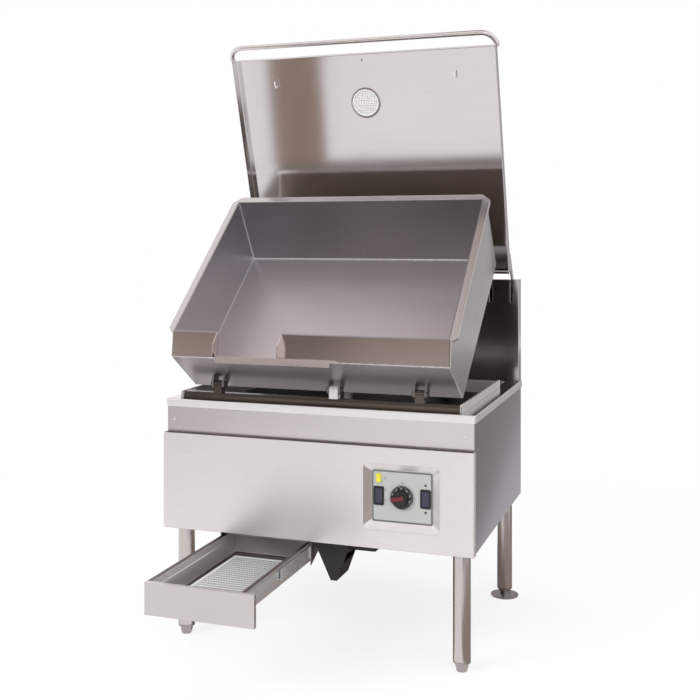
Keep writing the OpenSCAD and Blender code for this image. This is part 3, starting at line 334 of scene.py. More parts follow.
side_steel = brushed("side_panel_steel", (0.60, 0.585, 0.605), 0.15, (400, 5, 400), depth=0.02, fleck=0.1)
for node in ("side_panel_left", "side_panel_right", "rear_panel"):
    folded(node, "cabinet", side_steel, 0.0009)
base_steel = brushed("base_frame_steel", (0.30, 0.29, 0.29), 0.4, (30, 30, 300))
folded("base_frame", "cabinet", base_steel)


# FRONT PANEL AND FASCIA
# The fascia is a flat strip under the deck; the lower panel stands in front of it.
# Light stainless with its grain along the width, folded back all round and pressed
# in round the controls.
fascia_y = round(1000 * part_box("front_fascia")[0][1], 1)


def at(x, y, z):
    """A point given in millimetres from the fascia plane and the floor"""
    return Vector((x, y + fascia_y, z)) / 1000


def span(node):
    """A node's box, in the same millimetres: x0, x1, y0, y1, z0, z1"""
    low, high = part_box(node)
    x0, x1, y0, y1, z0, z1 = [round(1000 * side[axis], 1) for axis in range(3) for side in (low, high)]
    return x0, x1, y0 - fascia_y, y1 - fascia_y, z0, z1


def middle(low, high):
    """The place half-way between two"""
    return (low + high) / 2


def half(low, high):
    """Half the distance between two places"""
    return (high - low) / 2


def ring(x0, x1, y0, y1, r, steps=4):
    """Corner-rounded rectangle, counterclockwise"""
    points = []
    centres = [(x1 - r, y0 + r), (x1 - r, y1 - r), (x0 + r, y1 - r), (x0 + r, y0 + r)]
    for quarter, (cx, cy) in enumerate(centres):
        for i in range(steps + 1):
            a = math.radians(90 * (quarter - 1) + 90 * i / steps)
            points.append((cx + r * math.cos(a), cy + r * math.sin(a)))
    return points


def loft(name, rings, ends=(), place=None):
    """A skin through closed rings of points; ends names the rings that are closed: 0 or -1"""
    n = len(rings[0])
    verts = [p for one in rings for p in one]
    faces = [(k * n + i, k * n + (i + 1) % n, (k + 1) * n + (i + 1) % n, (k + 1) * n + i)
             for k in range(len(rings) - 1) for i in range(n)]
    if 0 in ends:
        faces.append(tuple(range(n))[::-1])
    if -1 in ends:
        faces.append(tuple(range(len(verts) - n, len(verts))))
    return piece(name, verts, faces, place=place)


def give_wall(ob, thickness):
    """Gives a skin its sheet thickness behind its face"""
    wall = ob.modifiers.new("wall", "SOLIDIFY")
    wall.thickness = thickness
    wall.offset = -1


def thicken(ob, thickness, flip=False):
    """A skin with its sheet thickness and smooth folds"""
    if flip:
        ob.data.flip_normals()
    for p in ob.data.polygons:
        p.use_smooth = True
    give_wall(ob, thickness)
    ob.modifiers.new("even", "WEIGHTED_NORMAL").keep_sharp = True
    return settle(ob)


def turned_in(r, steps=4):
    """Steps of a fold: how far in, how far up"""
    angles = [math.radians(90 * i / steps) for i in range(steps + 1)]
    return [(r * (1 - math.cos(a)), r * math.sin(a)) for a in angles]


def finish_faces(ob, mat, chosen):
    """Gives another finish to the faces that are chosen"""
    ob.data.materials.append(mat)
    for p in ob.data.polygons:
        if chosen(p):
            p.material_index = len(ob.data.materials) - 1


sheet = 0.0018
panel_x0, panel_x1, panel_face, panel_back, panel_z0, panel_z1 = span("front_panel")
plate_x0, plate_x1, plate_face, plate_back, plate_z0, plate_z1 = span("control_plate")
plate_x, plate_z = middle(plate_x0, plate_x1), middle(plate_z0, plate_z1)
panel_fold, panel_corner = 3, 3.5
mouth_w, mouth_h, mouth_r = 107, 90, 14
slope_w, slope_h, slope_r = 22, 20, 6
behind_w, behind_h, behind_r = 79, 61, 3
front_rings = []
for inwards, up in [(0, panel_face + panel_fold - panel_back)] + turned_in(panel_fold):
    outline = ring(panel_x0 + inwards, panel_x1 - inwards, panel_z0 + inwards, panel_z1 - inwards,
                   max(panel_corner - inwards, 0.6), 5)
    front_rings.append([at(x, panel_face + panel_fold - up, z) for x, z in outline])
pressing = [(-0.10, 0), (-0.03, 0.1), (0.03, 0.5), (0.09, 1.4), (0.2, 3.2), (0.8, 11.0), (0.92, 12.7),
            (1.0, 13.6), (1.1, 14)]
for share, deep in pressing:
    half_w, half_h = mouth_w - slope_w * share, mouth_h - slope_h * share
    outline = ring(plate_x - half_w, plate_x + half_w, plate_z - half_h, plate_z + half_h,
                   mouth_r - slope_r * share, 5)
    front_rings.append([at(x, panel_face + deep, z) for x, z in outline])
outline = ring(plate_x - behind_w, plate_x + behind_w, plate_z - behind_h, plate_z + behind_h, behind_r, 5)
front_rings.append([at(x, plate_back, z) for x, z in outline])
front_steel = brushed("front_panel_steel", (0.86, 0.83, 0.835), 0.3, (7, 900, 900), depth=0.15, cloud=0.02,
                      fleck=0.15, metal=0.75)
# Painted shade: the recess's left wall, which faces right, is darker and browner than the rest of the panel.
recess_steel = brushed("recess_steel", (0.66, 0.59, 0.56), 0.3, (900, 900, 7), depth=0.15, cloud=0.02,
                       fleck=0.15, metal=0.9)
# Painted shade: the top fold of the panel is dark brown for the shadow gap under the fascia.
top_fold_steel = brushed("top_fold_steel", (0.16, 0.125, 0.11), 0.4, (7, 900, 900), depth=0.1)
front = thicken(loft("front_panel_piece", front_rings), sheet)
fit(front, "cabinet", front_steel, "front_panel")
# Faces of the recess that look right take that painted shade.
finish_faces(front, recess_steel, lambda p: p.normal.x > 0.4 and abs(p.center.x - plate_x / 1000) < 0.13)
# The upward faces of the top fold take that painted shade.
finish_faces(front, top_fold_steel,
             lambda p: p.normal.z > 0.8 and p.center.z > (panel_z1 - panel_fold) / 1000)
fascia_steel = brushed("fascia_steel", (0.76, 0.725, 0.73), 0.22, (7, 900, 900), depth=0.12, cloud=0.02,
                       fleck=0.1)
folded("front_fascia", "cabinet", fascia_steel, 0.0006)


# FASCIA SCREWS
# Two round-head steel screws hold the fascia to the side panels. Each head is the
# same small turned shape with a drive recess, set along a row.
def pattern(name, inputs):
    """A node tree with named inputs: its node maker, its given values, and the end that closes it"""
    tree = bpy.data.node_groups.new(name, "GeometryNodeTree")
    tree.is_modifier = True
    tree.interface.new_socket("Geometry", in_out="OUTPUT", socket_type="NodeSocketGeometry")
    tree.interface.new_socket("Geometry", in_out="INPUT", socket_type="NodeSocketGeometry")
    for label, kind in inputs:
        tree.interface.new_socket(label, in_out="INPUT", socket_type="NodeSocket" + kind)
    given = tree.nodes.new("NodeGroupInput").outputs
    end = tree.nodes.new("NodeGroupOutput")
    make = node_maker(tree)

    def close(last):
        real = make("GeometryNodeRealizeInstances", {"Geometry": last})
        dressed = make("GeometryNodeSetMaterial", {"Geometry": real, "Material": given["Surface"]})
        tree.links.new(dressed.outputs[0], end.inputs[0])
        return tree

    return make, given, close


def grown(ob, tree, place=None, **values):
    """Runs a node tree on an object, makes it a plain mesh and moves it to its place"""
    mod = ob.modifiers.new("pattern", "NODES")
    mod.node_group = tree
    for item in tree.interface.items_tree:
        label = item.name.replace(" ", "_")
        if item.item_type == "SOCKET" and item.in_out == "INPUT" and label in values:
            mod[item.identifier] = values[label]
    done = settle(ob)
    if place is not None:
        done.data.transform(place)
    return done


def row_pattern():
    """Copies of a shape along a row"""
    make, given, close = pattern("row_of", (("Count", "Int"), ("Step", "Vector"), ("Surface", "Material")))
    line = make("GeometryNodeMeshLine", {"Count": given["Count"], "Offset": given["Step"]}, mode="OFFSET")
    return close(make("GeometryNodeInstanceOnPoints", {"Points": line, "Instance": given["Geometry"]}))


def lathe(name, profile, sides=32, place=None):
    """A turned shape: profile gives radius and height in millimetres, the outside on the way up"""
    turns = [2 * math.pi * i / sides for i in range(sides)]
    rings = [[(r * math.cos(a) / 1000, r * math.sin(a) / 1000, z / 1000) for a in turns] for r, z in profile]
    ob = loft(name, rings)
    bm = bmesh.new()
    bm.from_mesh(ob.data)
    bmesh.ops.remove_doubles(bm, verts=bm.verts, dist=1e-6)
    bmesh.ops.dissolve_degenerate(bm, edges=bm.edges, dist=1e-7)
    bm.to_mesh(ob.data)
    bm.free()
    for p in ob.data.polygons:
        p.use_smooth = True
    ob.data.set_sharp_from_angle(angle=math.radians(35))
    if place is not None:
        ob.data.transform(place)
    return ob


def screw_head(name, r, h):
    """A domed head with a drive recess in its middle"""
    dome = [(0, -0.2), (r, -0.2), (r, h * 0.3), (r * 0.85, h * 0.7), (r * 0.62, h * 0.93), (r * 0.5, h)]
    return lathe(name, dome + [(r * 0.48, h * 0.55), (0, h * 0.45)], 16)


row_of = row_pattern()
out_of_front = Matrix.Rotation(math.radians(90), 4, "X")
screw_x0, screw_x1, head_top, under_head, screw_z0, screw_z1 = span("cabinet_screws")
head_r = half(screw_z0, screw_z1)
screw_steel = brushed("screw_steel", (0.9, 0.9, 0.9), 0.25, (60, 60, 60), metal=0.5)
screws = grown(screw_head("cabinet_screws_piece", head_r, under_head - head_top), row_of,
               Matrix.Translation(at(screw_x0 + head_r, under_head, screw_z0 + head_r)) @ out_of_front,
               Count=2, Step=((screw_x1 - screw_x0 - 2 * head_r) / 1000, 0, 0), Surface=screw_steel)
fit(screws, "cabinet", node="cabinet_screws")


# DECK AND WELL
# One folded stainless top: a skirt round the outside, and a flange down into the
# well that takes the pan. A trough and a beam of square tube cross the front of
# the well, and two splash rails stand beside it.
joints = {joint["name"]: joint for joint in frame["joints"]}


def pivot(joint):
    """The point that a joint turns about"""
    return Vector(joints[joint]["pos_m"])


deck_x0, deck_x1, deck_y0, deck_y1, deck_low, deck_top = span("deck")
well_x0, well_x1, well_front = span("well_trough")[:3]
well_back = 669
outer_fold, inner_fold, deck_skirt, deck_corner = 4, 3, 22, 5
deck_rings = []
for inwards, up in [(0, outer_fold - deck_skirt)] + turned_in(outer_fold):
    outline = ring(deck_x0 + inwards, deck_x1 - inwards, deck_y0 + inwards, deck_y1 - inwards,
                   max(deck_corner - inwards, 0.8))
    deck_rings.append([at(x, y, deck_top - outer_fold + up) for x, y in outline])
for inwards, up in turned_in(inner_fold)[::-1] + [(0, deck_low - deck_top + inner_fold)]:
    outline = ring(well_x0 - inwards, well_x1 + inwards, well_front - inwards, well_back + inwards,
                   inner_fold + inwards)
    deck_rings.append([at(x, y, deck_top - inner_fold + up) for x, y in outline])
deck_steel = brushed("deck_steel", (0.72, 0.69, 0.69), 0.16, (9, 900, 900), depth=0.1, cloud=0.02, fleck=0.15)
# Painted light: every face of the deck but its top (the skirt, folds and flange) takes a lighter, less
# metallic copy of its steel.
skirt_painted_light = brushed("deck_skirt_steel", (0.88, 0.86, 0.86), 0.3, (9, 900, 900), depth=0.1, cloud=0.02,
                      fleck=0.15, metal=0.6)
deck = fit(thicken(loft("deck_piece", deck_rings), sheet), "cabinet", deck_steel, "deck")
finish_faces(deck, skirt_painted_light, lambda p: p.normal.z < 0.8)
rail_steel = brushed("rail_steel", (0.92, 0.90, 0.90), 0.25, (400, 9, 400), depth=0.1, cloud=0.02, fleck=0.1,
                     metal=0.4)
for node in ("splash_rail_left", "splash_rail_right"):
    folded(node, "cabinet", rail_steel, 0.0012, 3)
# Painted shade: the trough is near-black brown for the shadow it lies in under the pan.
trough_steel = brushed("trough_steel", (0.20, 0.17, 0.14), 0.3, (9, 300, 300), depth=0.1, cloud=0.02,
                       fleck=0.1)
folded("well_trough", "cabinet", trough_steel, 0.0006)
# Painted shade: the beam and the blocks on it are near-black for the shadow under the pan.
beam_steel = brushed("beam_steel", (0.12, 0.10, 0.085), 0.25, (20, 200, 200), depth=0.1, cloud=0.3, fleck=0.1)
folded("pivot_beam", "cabinet", beam_steel, 0.0014)
blocks = folded("pivot_blocks", "cabinet", beam_steel, 0.001)
# The middle block takes that lighter copy, painted light among the blocks in painted shade.
finish_faces(blocks, skirt_painted_light, lambda p: abs(p.center.x - pivot("actuator_swing").x) < 0.02)


# REAR HOUSING
# A bright rolled box behind the well with four slots for the lid's arms.
# The hinge brackets and the coiled springs sit inside it.
def bar_pattern():
    """A round bar along a path, its thickness changing at random by as much as the ripple"""
    make, given, close = pattern("bar_on_path", (("Radius", "Float"), ("Sides", "Int"), ("Pitch", "Float"),
                                                 ("Ripple", "Float"), ("Seed", "Float"),
                                                 ("Surface", "Material")))
    path = make("GeometryNodeMeshToCurve", {"Mesh": given["Geometry"]})
    even = make("GeometryNodeResampleCurve", {"Curve": path, "Length": given["Pitch"]}, mode="LENGTH")
    count = make("ShaderNodeMath", {0: make("GeometryNodeInputIndex"), 1: given["Seed"]}, operation="ADD")
    chance = make("ShaderNodeTexWhiteNoise", {"W": count}, noise_dimensions="1D")
    swell = make("ShaderNodeMath", {0: chance.outputs["Value"], 1: given["Ripple"]}, operation="MULTIPLY")
    size = make("ShaderNodeMath", {0: swell, 1: 1.0}, operation="ADD")
    section = make("GeometryNodeCurvePrimitiveCircle", {"Resolution": given["Sides"],
                                                        "Radius": given["Radius"]})
    bar = make("GeometryNodeCurveToMesh", {"Curve": even, "Profile Curve": section, "Scale": size,
                                           "Fill Caps": True})
    return close(make("GeometryNodeSetShadeSmooth", {0: bar}))


bar_on_path = bar_pattern()


def rod(name, points, radius, mat, sides=12, pitch=0.003, ripple=0.0, seed=1.0, place=None):
    """A round bar that follows straight edges through points"""
    path = piece(name, points, [], [(i, i + 1) for i in range(len(points) - 1)])
    ob = grown(path, bar_on_path, place, Radius=radius, Sides=sides, Pitch=pitch, Ripple=ripple, Seed=seed,
               Surface=mat)
    ob.data.set_sharp_from_angle(angle=math.radians(50))
    return ob


def join(name, parts):
    """One mesh object from several, each with its own finish"""
    mats, verts, faces, which, smooth = [], [], [], [], []
    for ob in parts:
        first = len(verts)
        slots = []
        for mat in ob.data.materials:
            if mat not in mats:
                mats.append(mat)
            slots.append(mats.index(mat))
        verts += [ob.matrix_world @ v.co for v in ob.data.vertices]
        for p in ob.data.polygons:
            faces.append([first + i for i in p.vertices])
            which.append(slots[p.material_index] if slots else 0)
            smooth.append(p.use_smooth)
        bpy.data.objects.remove(ob)
    whole = piece(name, verts, faces)
    for mat in mats:
        whole.data.materials.append(mat)
    for p, i, s in zip(whole.data.polygons, which, smooth):
        p.material_index = i
        p.use_smooth = s
    return whole


housing_steel = brushed("housing_steel", (0.72, 0.70, 0.715), 0.16, (500, 500, 8))
folded("rear_housing", "cabinet", housing_steel, 0.0012, 3)
# The hinge brackets inside the housing take the beam's near-black painted shade.
folded("lid_hinge_brackets", "cabinet", beam_steel)

spring_x, coil_r, wire_r = 397, 10, 0.002
coil_pitch, coil_turns, turn_steps = 5.5, 8, 24
coils = []
for side in (-1, 1):
    helix = []
    for i in range(coil_turns * turn_steps + 1):
        turn = i / turn_steps
        a = 2 * math.pi * turn
        along = side * (spring_x + coil_pitch * (turn - coil_turns / 2))
        helix.append(pivot("lid_hinge") + Vector((along, coil_r * math.cos(a), coil_r * math.sin(a))) / 1000)
    coils.append(rod("coil", helix, wire_r, screw_steel, 10, 0.0016))
fit(join("lid_springs_piece", coils), "cabinet", node="lid_springs")


# LEGS AND FEET
# Round stainless tube, polished, with turned bullet feet in front and floor
# flanges with two bolt holes at the back.
leg_steel = brushed("leg_steel", (0.68, 0.64, 0.625), 0.24, (300, 300, 9), depth=0.05, cloud=0.02, fleck=0.2,
                    skew=0.2)
for node in ("leg_front_left", "leg_front_right", "leg_rear_left", "leg_rear_right"):
    folded(node, "cabinet", leg_steel, 0.0005, 2, 50)
foot_steel = brushed("foot_steel", (0.42, 0.39, 0.38), 0.2, (200, 200, 200), depth=0.1)
foot_profile = [(0, 0), (12, 0), (14.2, 0.9), (15, 3), (18.6, 21.8), (19.2, 23.2), (22.8, 23.8), (23.8, 24.8),
                (23.8, 29.3), (23.2, 30), (21.5, 30), (21.5, 80), (0, 80)]
leg_x0, leg_x1, leg_y0, leg_y1 = span("leg_front_right")[:4]
foot_x, foot_y = middle(leg_x0, leg_x1), middle(leg_y0, leg_y1)
feet = [lathe("foot", foot_profile, 48, Matrix.Translation(at(x, foot_y, 0))) for x in (-foot_x, foot_x)]
fit(join("bullet_feet_piece", feet), "cabinet", foot_steel, "bullet_feet")
for node in ("flanged_foot_left", "flanged_foot_right"):
    folded(node, "cabinet", foot_steel)


# CONTROLS
# A grey printed plate in a pressed recess: a round thermostat dial between two
# rocker switches, and a yellow pilot light above the left one. Moulded plastic
# parts snap or screw into the plate.
def moulded(name, colour, rough, grain=900, depth=0.3, gloss=0.5):
    """Moulded or printed plastic with fine pores"""
    mat, make, base = shader(name)
    where = make("ShaderNodeTexCoord").outputs["Object"]
    pores = make("ShaderNodeTexNoise", {"Vector": where, "Scale": grain})
    bump = make("ShaderNodeBump", {"Strength": depth, "Distance": 0.0002, "Height": pores})
    feed(base, Base_Color=(*colour, 1), Roughness=rough, Normal=bump, Specular_IOR_Level=gloss)
    return mat


def raised(outline, height):
    """The points of an outline at a height, from millimetres to metres"""
    return [(x / 1000, y / 1000, height / 1000) for x, y in outline]


def print_of(name, outlines, mat, height, place, thick=0.00012):
    """Flat printed shapes on a face: each outline counterclockwise, in millimetres"""
    verts, faces = [], []
    for outline in outlines:
        faces.append(range(len(verts), len(verts) + len(outline)))
        verts += raised(outline, height)
    ob = piece(name, verts, faces)
    give_wall(ob, thick)
    done = settle(ob)
    done.data.transform(place)
    dress(done, mat)
    return done


plate_print = moulded("control_plate_print", (0.56, 0.57, 0.555), 0.45)
folded("control_plate", "cabinet", plate_print, 0.0003)
on_plate = Matrix.Translation(at(plate_x, plate_face, plate_z)) @ out_of_front

border_print = moulded("border_print", (0.15, 0.16, 0.15), 0.45)
plate_margin, border_w, print_h = 0.3, 4.2, 0.1
outer_w, outer_h = half(plate_x0, plate_x1) - plate_margin, half(plate_z0, plate_z1) - plate_margin
outer = ring(-outer_w, outer_w, -outer_h, outer_h, 5.8)
inner = ring(border_w - outer_w, outer_w - border_w, border_w - outer_h, outer_h - border_w, 3)
border_rings = [raised(outer, 0), raised(outer, print_h), raised(inner, print_h), raised(inner, 0)]
border = loft("control_border", border_rings, place=on_plate)
fit(border, "cabinet", border_print)

# Dark print for the marks on the plate; the same black is the painted shade of the lid's drain hole.
dark_print = moulded("dark_print", (0.03, 0.03, 0.035), 0.5)
up_arrow = [(60.6, 33.5), (69.4, 33.5), (65, 41.5)]
down_arrow = [(65, -41.5), (69.4, -33.5), (60.6, -33.5)]
on_mark, off_mark = rectangle(-48, -46.4, 14, 20), rectangle(-49.5, -45, -12, -10.6)
dial_mark = rectangle(-1, 1, 36, 41)
light_marks = [rectangle(-51, -44, 50, 51.2), rectangle(-51, -45, 45, 46.2)]
marks = [up_arrow, down_arrow, on_mark, off_mark, dial_mark] + light_marks
fit(print_of("control_marks", marks, dark_print, 0.14, on_plate), "cabinet")

lens = moulded("pilot_lens", (0.90, 0.80, 0.06), 0.15)
folded("pilot_light", "cabinet", lens, 0.0012, 3)
black = moulded("black_plastic", (0.012, 0.012, 0.014), 0.35)
for node in ("switch_frames", "thermostat_body"):
    folded(node, "cabinet", black)
rocker_plastic = moulded("rocker_plastic", (0.045, 0.047, 0.078), 0.3)
folded("power_rocker", "power_switch", rocker_plastic)
folded("tilt_rocker", "tilt_switch", rocker_plastic)
folded("control_box", "cabinet", base_steel)


# THERMOSTAT DIAL
# A black moulded knob with a finger bar and a red pointer. White ticks and plain
# numbers are printed round its skirt; it turns on the thermostat's shaft.
def arc_pattern():
    """Copies of a shape along an arc, each turned to its own angle"""
    make, given, close = pattern("arc_of", (("Count", "Int"), ("Radius", "Float"), ("Start", "Float"),
                                            ("Sweep", "Float"), ("Surface", "Material")))
    gaps = make("ShaderNodeMath", {0: given["Count"], 1: 1.0}, operation="SUBTRACT")
    share = make("ShaderNodeMath", {0: make("GeometryNodeInputIndex"), 1: gaps}, operation="DIVIDE")
    angle = make("ShaderNodeMath", {0: share, 1: given["Sweep"], 2: given["Start"]}, operation="MULTIPLY_ADD")
    waves = [make("ShaderNodeMath", {0: angle}, operation=kind) for kind in ("COSINE", "SINE")]
    across, up = [make("ShaderNodeMath", {0: wave, 1: given["Radius"]}, operation="MULTIPLY")
                  for wave in waves]
    turn = make("FunctionNodeEulerToRotation", {0: make("ShaderNodeCombineXYZ", {2: angle})})
    points = make("GeometryNodePoints", {"Count": given["Count"],
                                         "Position": make("ShaderNodeCombineXYZ", {0: across, 1: up})})
    return close(make("GeometryNodeInstanceOnPoints", {"Points": points, "Instance": given["Geometry"],
                                                       "Rotation": turn}))


def block_mesh(name, low, high):
    """A closed box between two corners, in millimetres"""
    x0, y0, z0 = low
    x1, y1, z1 = high
    verts = raised(rectangle(x0, x1, y0, y1), z0) + raised(rectangle(x0, x1, y0, y1), z1)
    faces = [(3, 2, 1, 0), (4, 5, 6, 7), (0, 1, 5, 4), (1, 2, 6, 5), (2, 3, 7, 6), (3, 0, 4, 7)]
    return piece(name, verts, faces)


def number(text, size, place, mat):
    """A printed number, its middle on the origin of its place"""
    curve = bpy.data.curves.new("number", "FONT")
    curve.body = text
    curve.size = size / 1000
    curve.align_x = curve.align_y = "CENTER"
    curve.extrude = 0.00006
    curve.resolution_u = 3
    ob = bpy.data.objects.new("number", curve)
    scene.collection.objects.link(ob)
    done = settle(ob)
    done.data.transform(place)
    dress(done, mat)
    return done


skirt_profile = [(0, 14.6), (4.05, 14.6), (4.05, 1), (30.4, 1), (31, 1.6), (31, 6.4), (30.6, 7.4), (29.6, 8),
                 (20.6, 8), (19.8, 8.5), (19.2, 9.4), (18.0, 14.4), (17.2, 15.5), (0, 15.5)]
skirt = lathe("skirt", skirt_profile, 64, on_plate)
dress(skirt, black)
bar_turn = Matrix.Rotation(math.radians(14), 4, "Z")
bar_offset = -6
grip_profile = [(22.5, 8, 3, 7.5), (22.2, 7.4, 3, 16), (21.6, 6.8, 3, 18.3), (20.4, 5.6, 2, 19)]
grip_rings = [raised(ring(bar_offset - w, bar_offset + w, -d, d, r), z) for w, d, r, z in grip_profile]
grip = loft("grip", grip_rings, ends=(0, -1), place=on_plate @ bar_turn)
dress(grip, black)
knob = join("thermostat_dial_piece", [skirt, soften(grip, 0.0004)])
fit(knob, "dial", node="thermostat_dial")

red_print = moulded("red_print", (0.20, 0.02, 0.03), 0.45)
pointer = print_of("dial_pointer", [rectangle(-26, 8, -5, 5)], red_print, 19.1, on_plate @ bar_turn)
fit(pointer, "dial")

white_print = moulded("white_print", (0.82, 0.82, 0.80), 0.5)
skirt_top, tick_circle, number_circle = 0.008, 0.0288, 0.0243
ticks = grown(block_mesh("dial_ticks", (-1.5, -0.25, 0), (1.5, 0.25, 0.12)), arc_pattern(),
              on_plate @ Matrix.Translation((0, 0, skirt_top)), Count=31, Radius=tick_circle,
              Start=math.radians(-60), Sweep=math.radians(300), Surface=white_print)
fit(ticks, "dial")
first_angle, number_sweep = 200, 220
numbers = []
for i, text in enumerate(("100", "150", "200", "250", "300", "350", "400")):
    a = math.radians(first_angle - number_sweep * i / 6)
    spot = Vector((number_circle * math.cos(a), number_circle * math.sin(a), skirt_top + 0.00012))
    upright = Matrix.Rotation(a - math.pi / 2, 4, "Z")
    numbers.append(number(text, 4.4, on_plate @ Matrix.Translation(spot) @ upright, white_print))
fit(join("dial_numbers", numbers), "dial")


# DRAWER
# A shallow drip tray with a folded front and rolled rims, and a perforated
# strainer that lies in it. It hangs on zinc-plated telescopic slides under gusseted
# hangers.
def field_pattern():
    """Copies of a shape on a grid, only within reach of its middle, joined into one sheet"""
    make, given, close = pattern("perforated_field", (("Columns", "Int"), ("Rows", "Int"), ("Pitch", "Float"),
                                                      ("Row Pitch", "Float"), ("Reach", "Float"),
                                                      ("Surface", "Material")))

    def run_of(count, pitch):
        less = make("ShaderNodeMath", {0: count, 1: 1.0}, operation="SUBTRACT")
        return make("ShaderNodeMath", {0: less, 1: pitch}, operation="MULTIPLY")

    field = make("GeometryNodeMeshGrid", {"Size X": run_of(given["Columns"], given["Pitch"]),
                                          "Size Y": run_of(given["Rows"], given["Row Pitch"]),
                                          "Vertices X": given["Columns"], "Vertices Y": given["Rows"]})
    away = make("ShaderNodeVectorMath", {0: make("GeometryNodeInputPosition")}, operation="LENGTH")
    beyond = make("FunctionNodeCompare", {0: away.outputs["Value"], 1: given["Reach"]},
                  operation="GREATER_THAN")
    kept = make("GeometryNodeDeleteGeometry", {"Geometry": field, "Selection": beyond})
    tiles = make("GeometryNodeInstanceOnPoints", {"Points": kept, "Instance": given["Geometry"]})
    real = make("GeometryNodeRealizeInstances", {"Geometry": tiles})
    return close(make("GeometryNodeMergeByDistance", {"Geometry": real, "Distance": 0.00001}))


def tile(pitch, hole, thick, stretch=1):
    """A piece of sheet with a round or stretched hole, in millimetres"""
    p, r = pitch / 2000, hole / 2000
    q = p * stretch
    outer = [(p, 0), (p, q), (0, q), (-p, q), (-p, 0), (-p, -q), (0, -q), (p, -q)]
    eighths = [math.radians(45 * i) for i in range(8)]
    inner = [(r * math.cos(a), r * math.sin(a) * stretch) for a in eighths]
    verts = [(x, y, z) for z in (0, -thick / 1000) for shape in (outer, inner) for x, y in shape]
    faces = []
    for i in range(8):
        j = (i + 1) % 8
        faces += [(i, j, 8 + j, 8 + i), (16 + j, 16 + i, 24 + i, 24 + j), (8 + i, 8 + j, 24 + j, 24 + i)]
    return piece("tile", verts, faces)


drawer_steel = brushed("drawer_steel", (0.70, 0.67, 0.66), 0.25, (9, 900, 900), depth=0.15, fleck=0.2,
                       metal=0.85)
folded("drawer_front", "drawer", drawer_steel, 0.0012, 3)

tray_x0, tray_x1, tray_front, tray_back = span("drawer_tray")[:4]
drawer_low = span("drawer_front")[4]
rim_z, corner_z = drawer_low + 77.5, drawer_low + 17
rolled_rim = [(10.5, 74.5, 1.5), (10.5, 78.2, 1.5), (9.9, 79.1, 1.5), (9.0, 79.5, 1.5), (0.8, 79.5, 1.5),
              (-0.2, 79.3, 1.5), (-1.1, 78.5, 1.5), (-1.5, 77.3, 1.5)]
pressed_step = [(-1.5, 60.6, 2), (-1.9, 59.8, 2), (-3.2, 59.5, 2), (-4.4, 59.2, 2), (-4.8, 58.2, 2)]
tray_bottom = [(-4.8, 18, 4), (-5.6, 16, 4), (-7.6, 15.2, 4), (-10, 15, 5)]
tray_rings = []
for out, up, r in rolled_rim + pressed_step + tray_bottom:
    inside = min(out, 0)
    outline = ring(tray_x0 - out, tray_x1 + out, tray_front - inside, tray_back + inside, r)
    tray_rings.append([at(x, y, drawer_low + up) for x, y in outline])
tray_steel = brushed("tray_steel", (0.74, 0.70, 0.69), 0.3, (400, 9, 400), depth=0.1, fleck=0.2, metal=0.55)
# Painted shade: the upward faces of the rolled rim and of the tray's floor, under the cabinet, are dark
# brown.
tray_rim_steel = brushed("tray_rim_steel", (0.13, 0.10, 0.09), 0.3, (400, 9, 400), depth=0.1)
tray = thicken(loft("drawer_tray_piece", tray_rings, ends=(-1,)), 0.0012)
fit(tray, "drawer", tray_steel, "drawer_tray")
finish_faces(tray, tray_rim_steel,
             lambda p: p.normal.z > 0.5 and not corner_z / 1000 <= p.center.z <= rim_z / 1000)

grate_x0, grate_x1, grate_y0, grate_y1, grate_low, grate_top = span("drawer_strainer")
grate_mid = at(middle(grate_x0, grate_x1), middle(grate_y0, grate_y1), 0)
hole_pitch, hole_size, hole_stretch, plate_drop = 7.5, 5.6, 2.05, 0.6
strainer_steel = brushed("strainer_steel", (0.90, 0.92, 0.91), 0.4, (60, 60, 60), metal=0.35)
perforated_field = field_pattern()
mesh_field = grown(tile(hole_pitch, hole_size, 1.2, hole_stretch), perforated_field,
                   Matrix.Translation(grate_mid + Vector((0, 0, grate_top - plate_drop)) / 1000),
                   Columns=20, Rows=20, Pitch=hole_pitch / 1000, Row_Pitch=hole_pitch * hole_stretch / 1000,
                   Reach=9.0, Surface=strainer_steel)
edge_profile = [(0, 0, 5, grate_low - grate_top), (0, 0, 5, -2.5), (0.8, 0.8, 5, -0.7), (2.4, 2.4, 4, 0),
                (9.4, 10, 1, 0), (10.1, 11.3, 0.5, -plate_drop)]
edge_rings = []
for in_x, in_y, r, z in edge_profile:
    w, d = half(grate_x0, grate_x1) - in_x, half(grate_y0, grate_y1) - in_y
    edge_rings.append([grate_mid + Vector((x, y, grate_top + z)) / 1000 for x, y in ring(-w, w, -d, d, r)])
edge = thicken(loft("strainer_edge", edge_rings), 0.0012)
dress(edge, strainer_steel)
fit(join("drawer_strainer_piece", [mesh_field, edge]), "drawer", node="drawer_strainer")

zinc = brushed("slide_zinc", (0.88, 0.89, 0.91), 0.3, (200, 9, 200), metal=0.7)
for member, body in (("outer", "cabinet"), ("middle", "slide_middles"), ("inner", "drawer")):
    for side in ("left", "right"):
        folded("slide_%s_%s" % (member, side), body, zinc, 0.0004)
hanger_steel = brushed("hanger_steel", (0.34, 0.33, 0.33), 0.35, (30, 30, 300))
folded("drawer_hangers", "cabinet", hanger_steel)


# ACTUATOR
# A black powder-coated screw actuator with a geared motor. It hangs on a pin in
# a V-shaped bracket under the cabinet and pushes a bright rod at the pan's clevis.
coat = moulded("black_powder_coat", (0.012, 0.012, 0.012), 0.45, 2500)
folded("actuator_bracket", "cabinet", coat, 0.0010)
folded("actuator_body", "actuator_tube", coat, 0.0014)
folded("actuator_motor", "actuator_tube", coat, 0.0025, 3)
folded("actuator_rod", "actuator_screw", screw_steel)


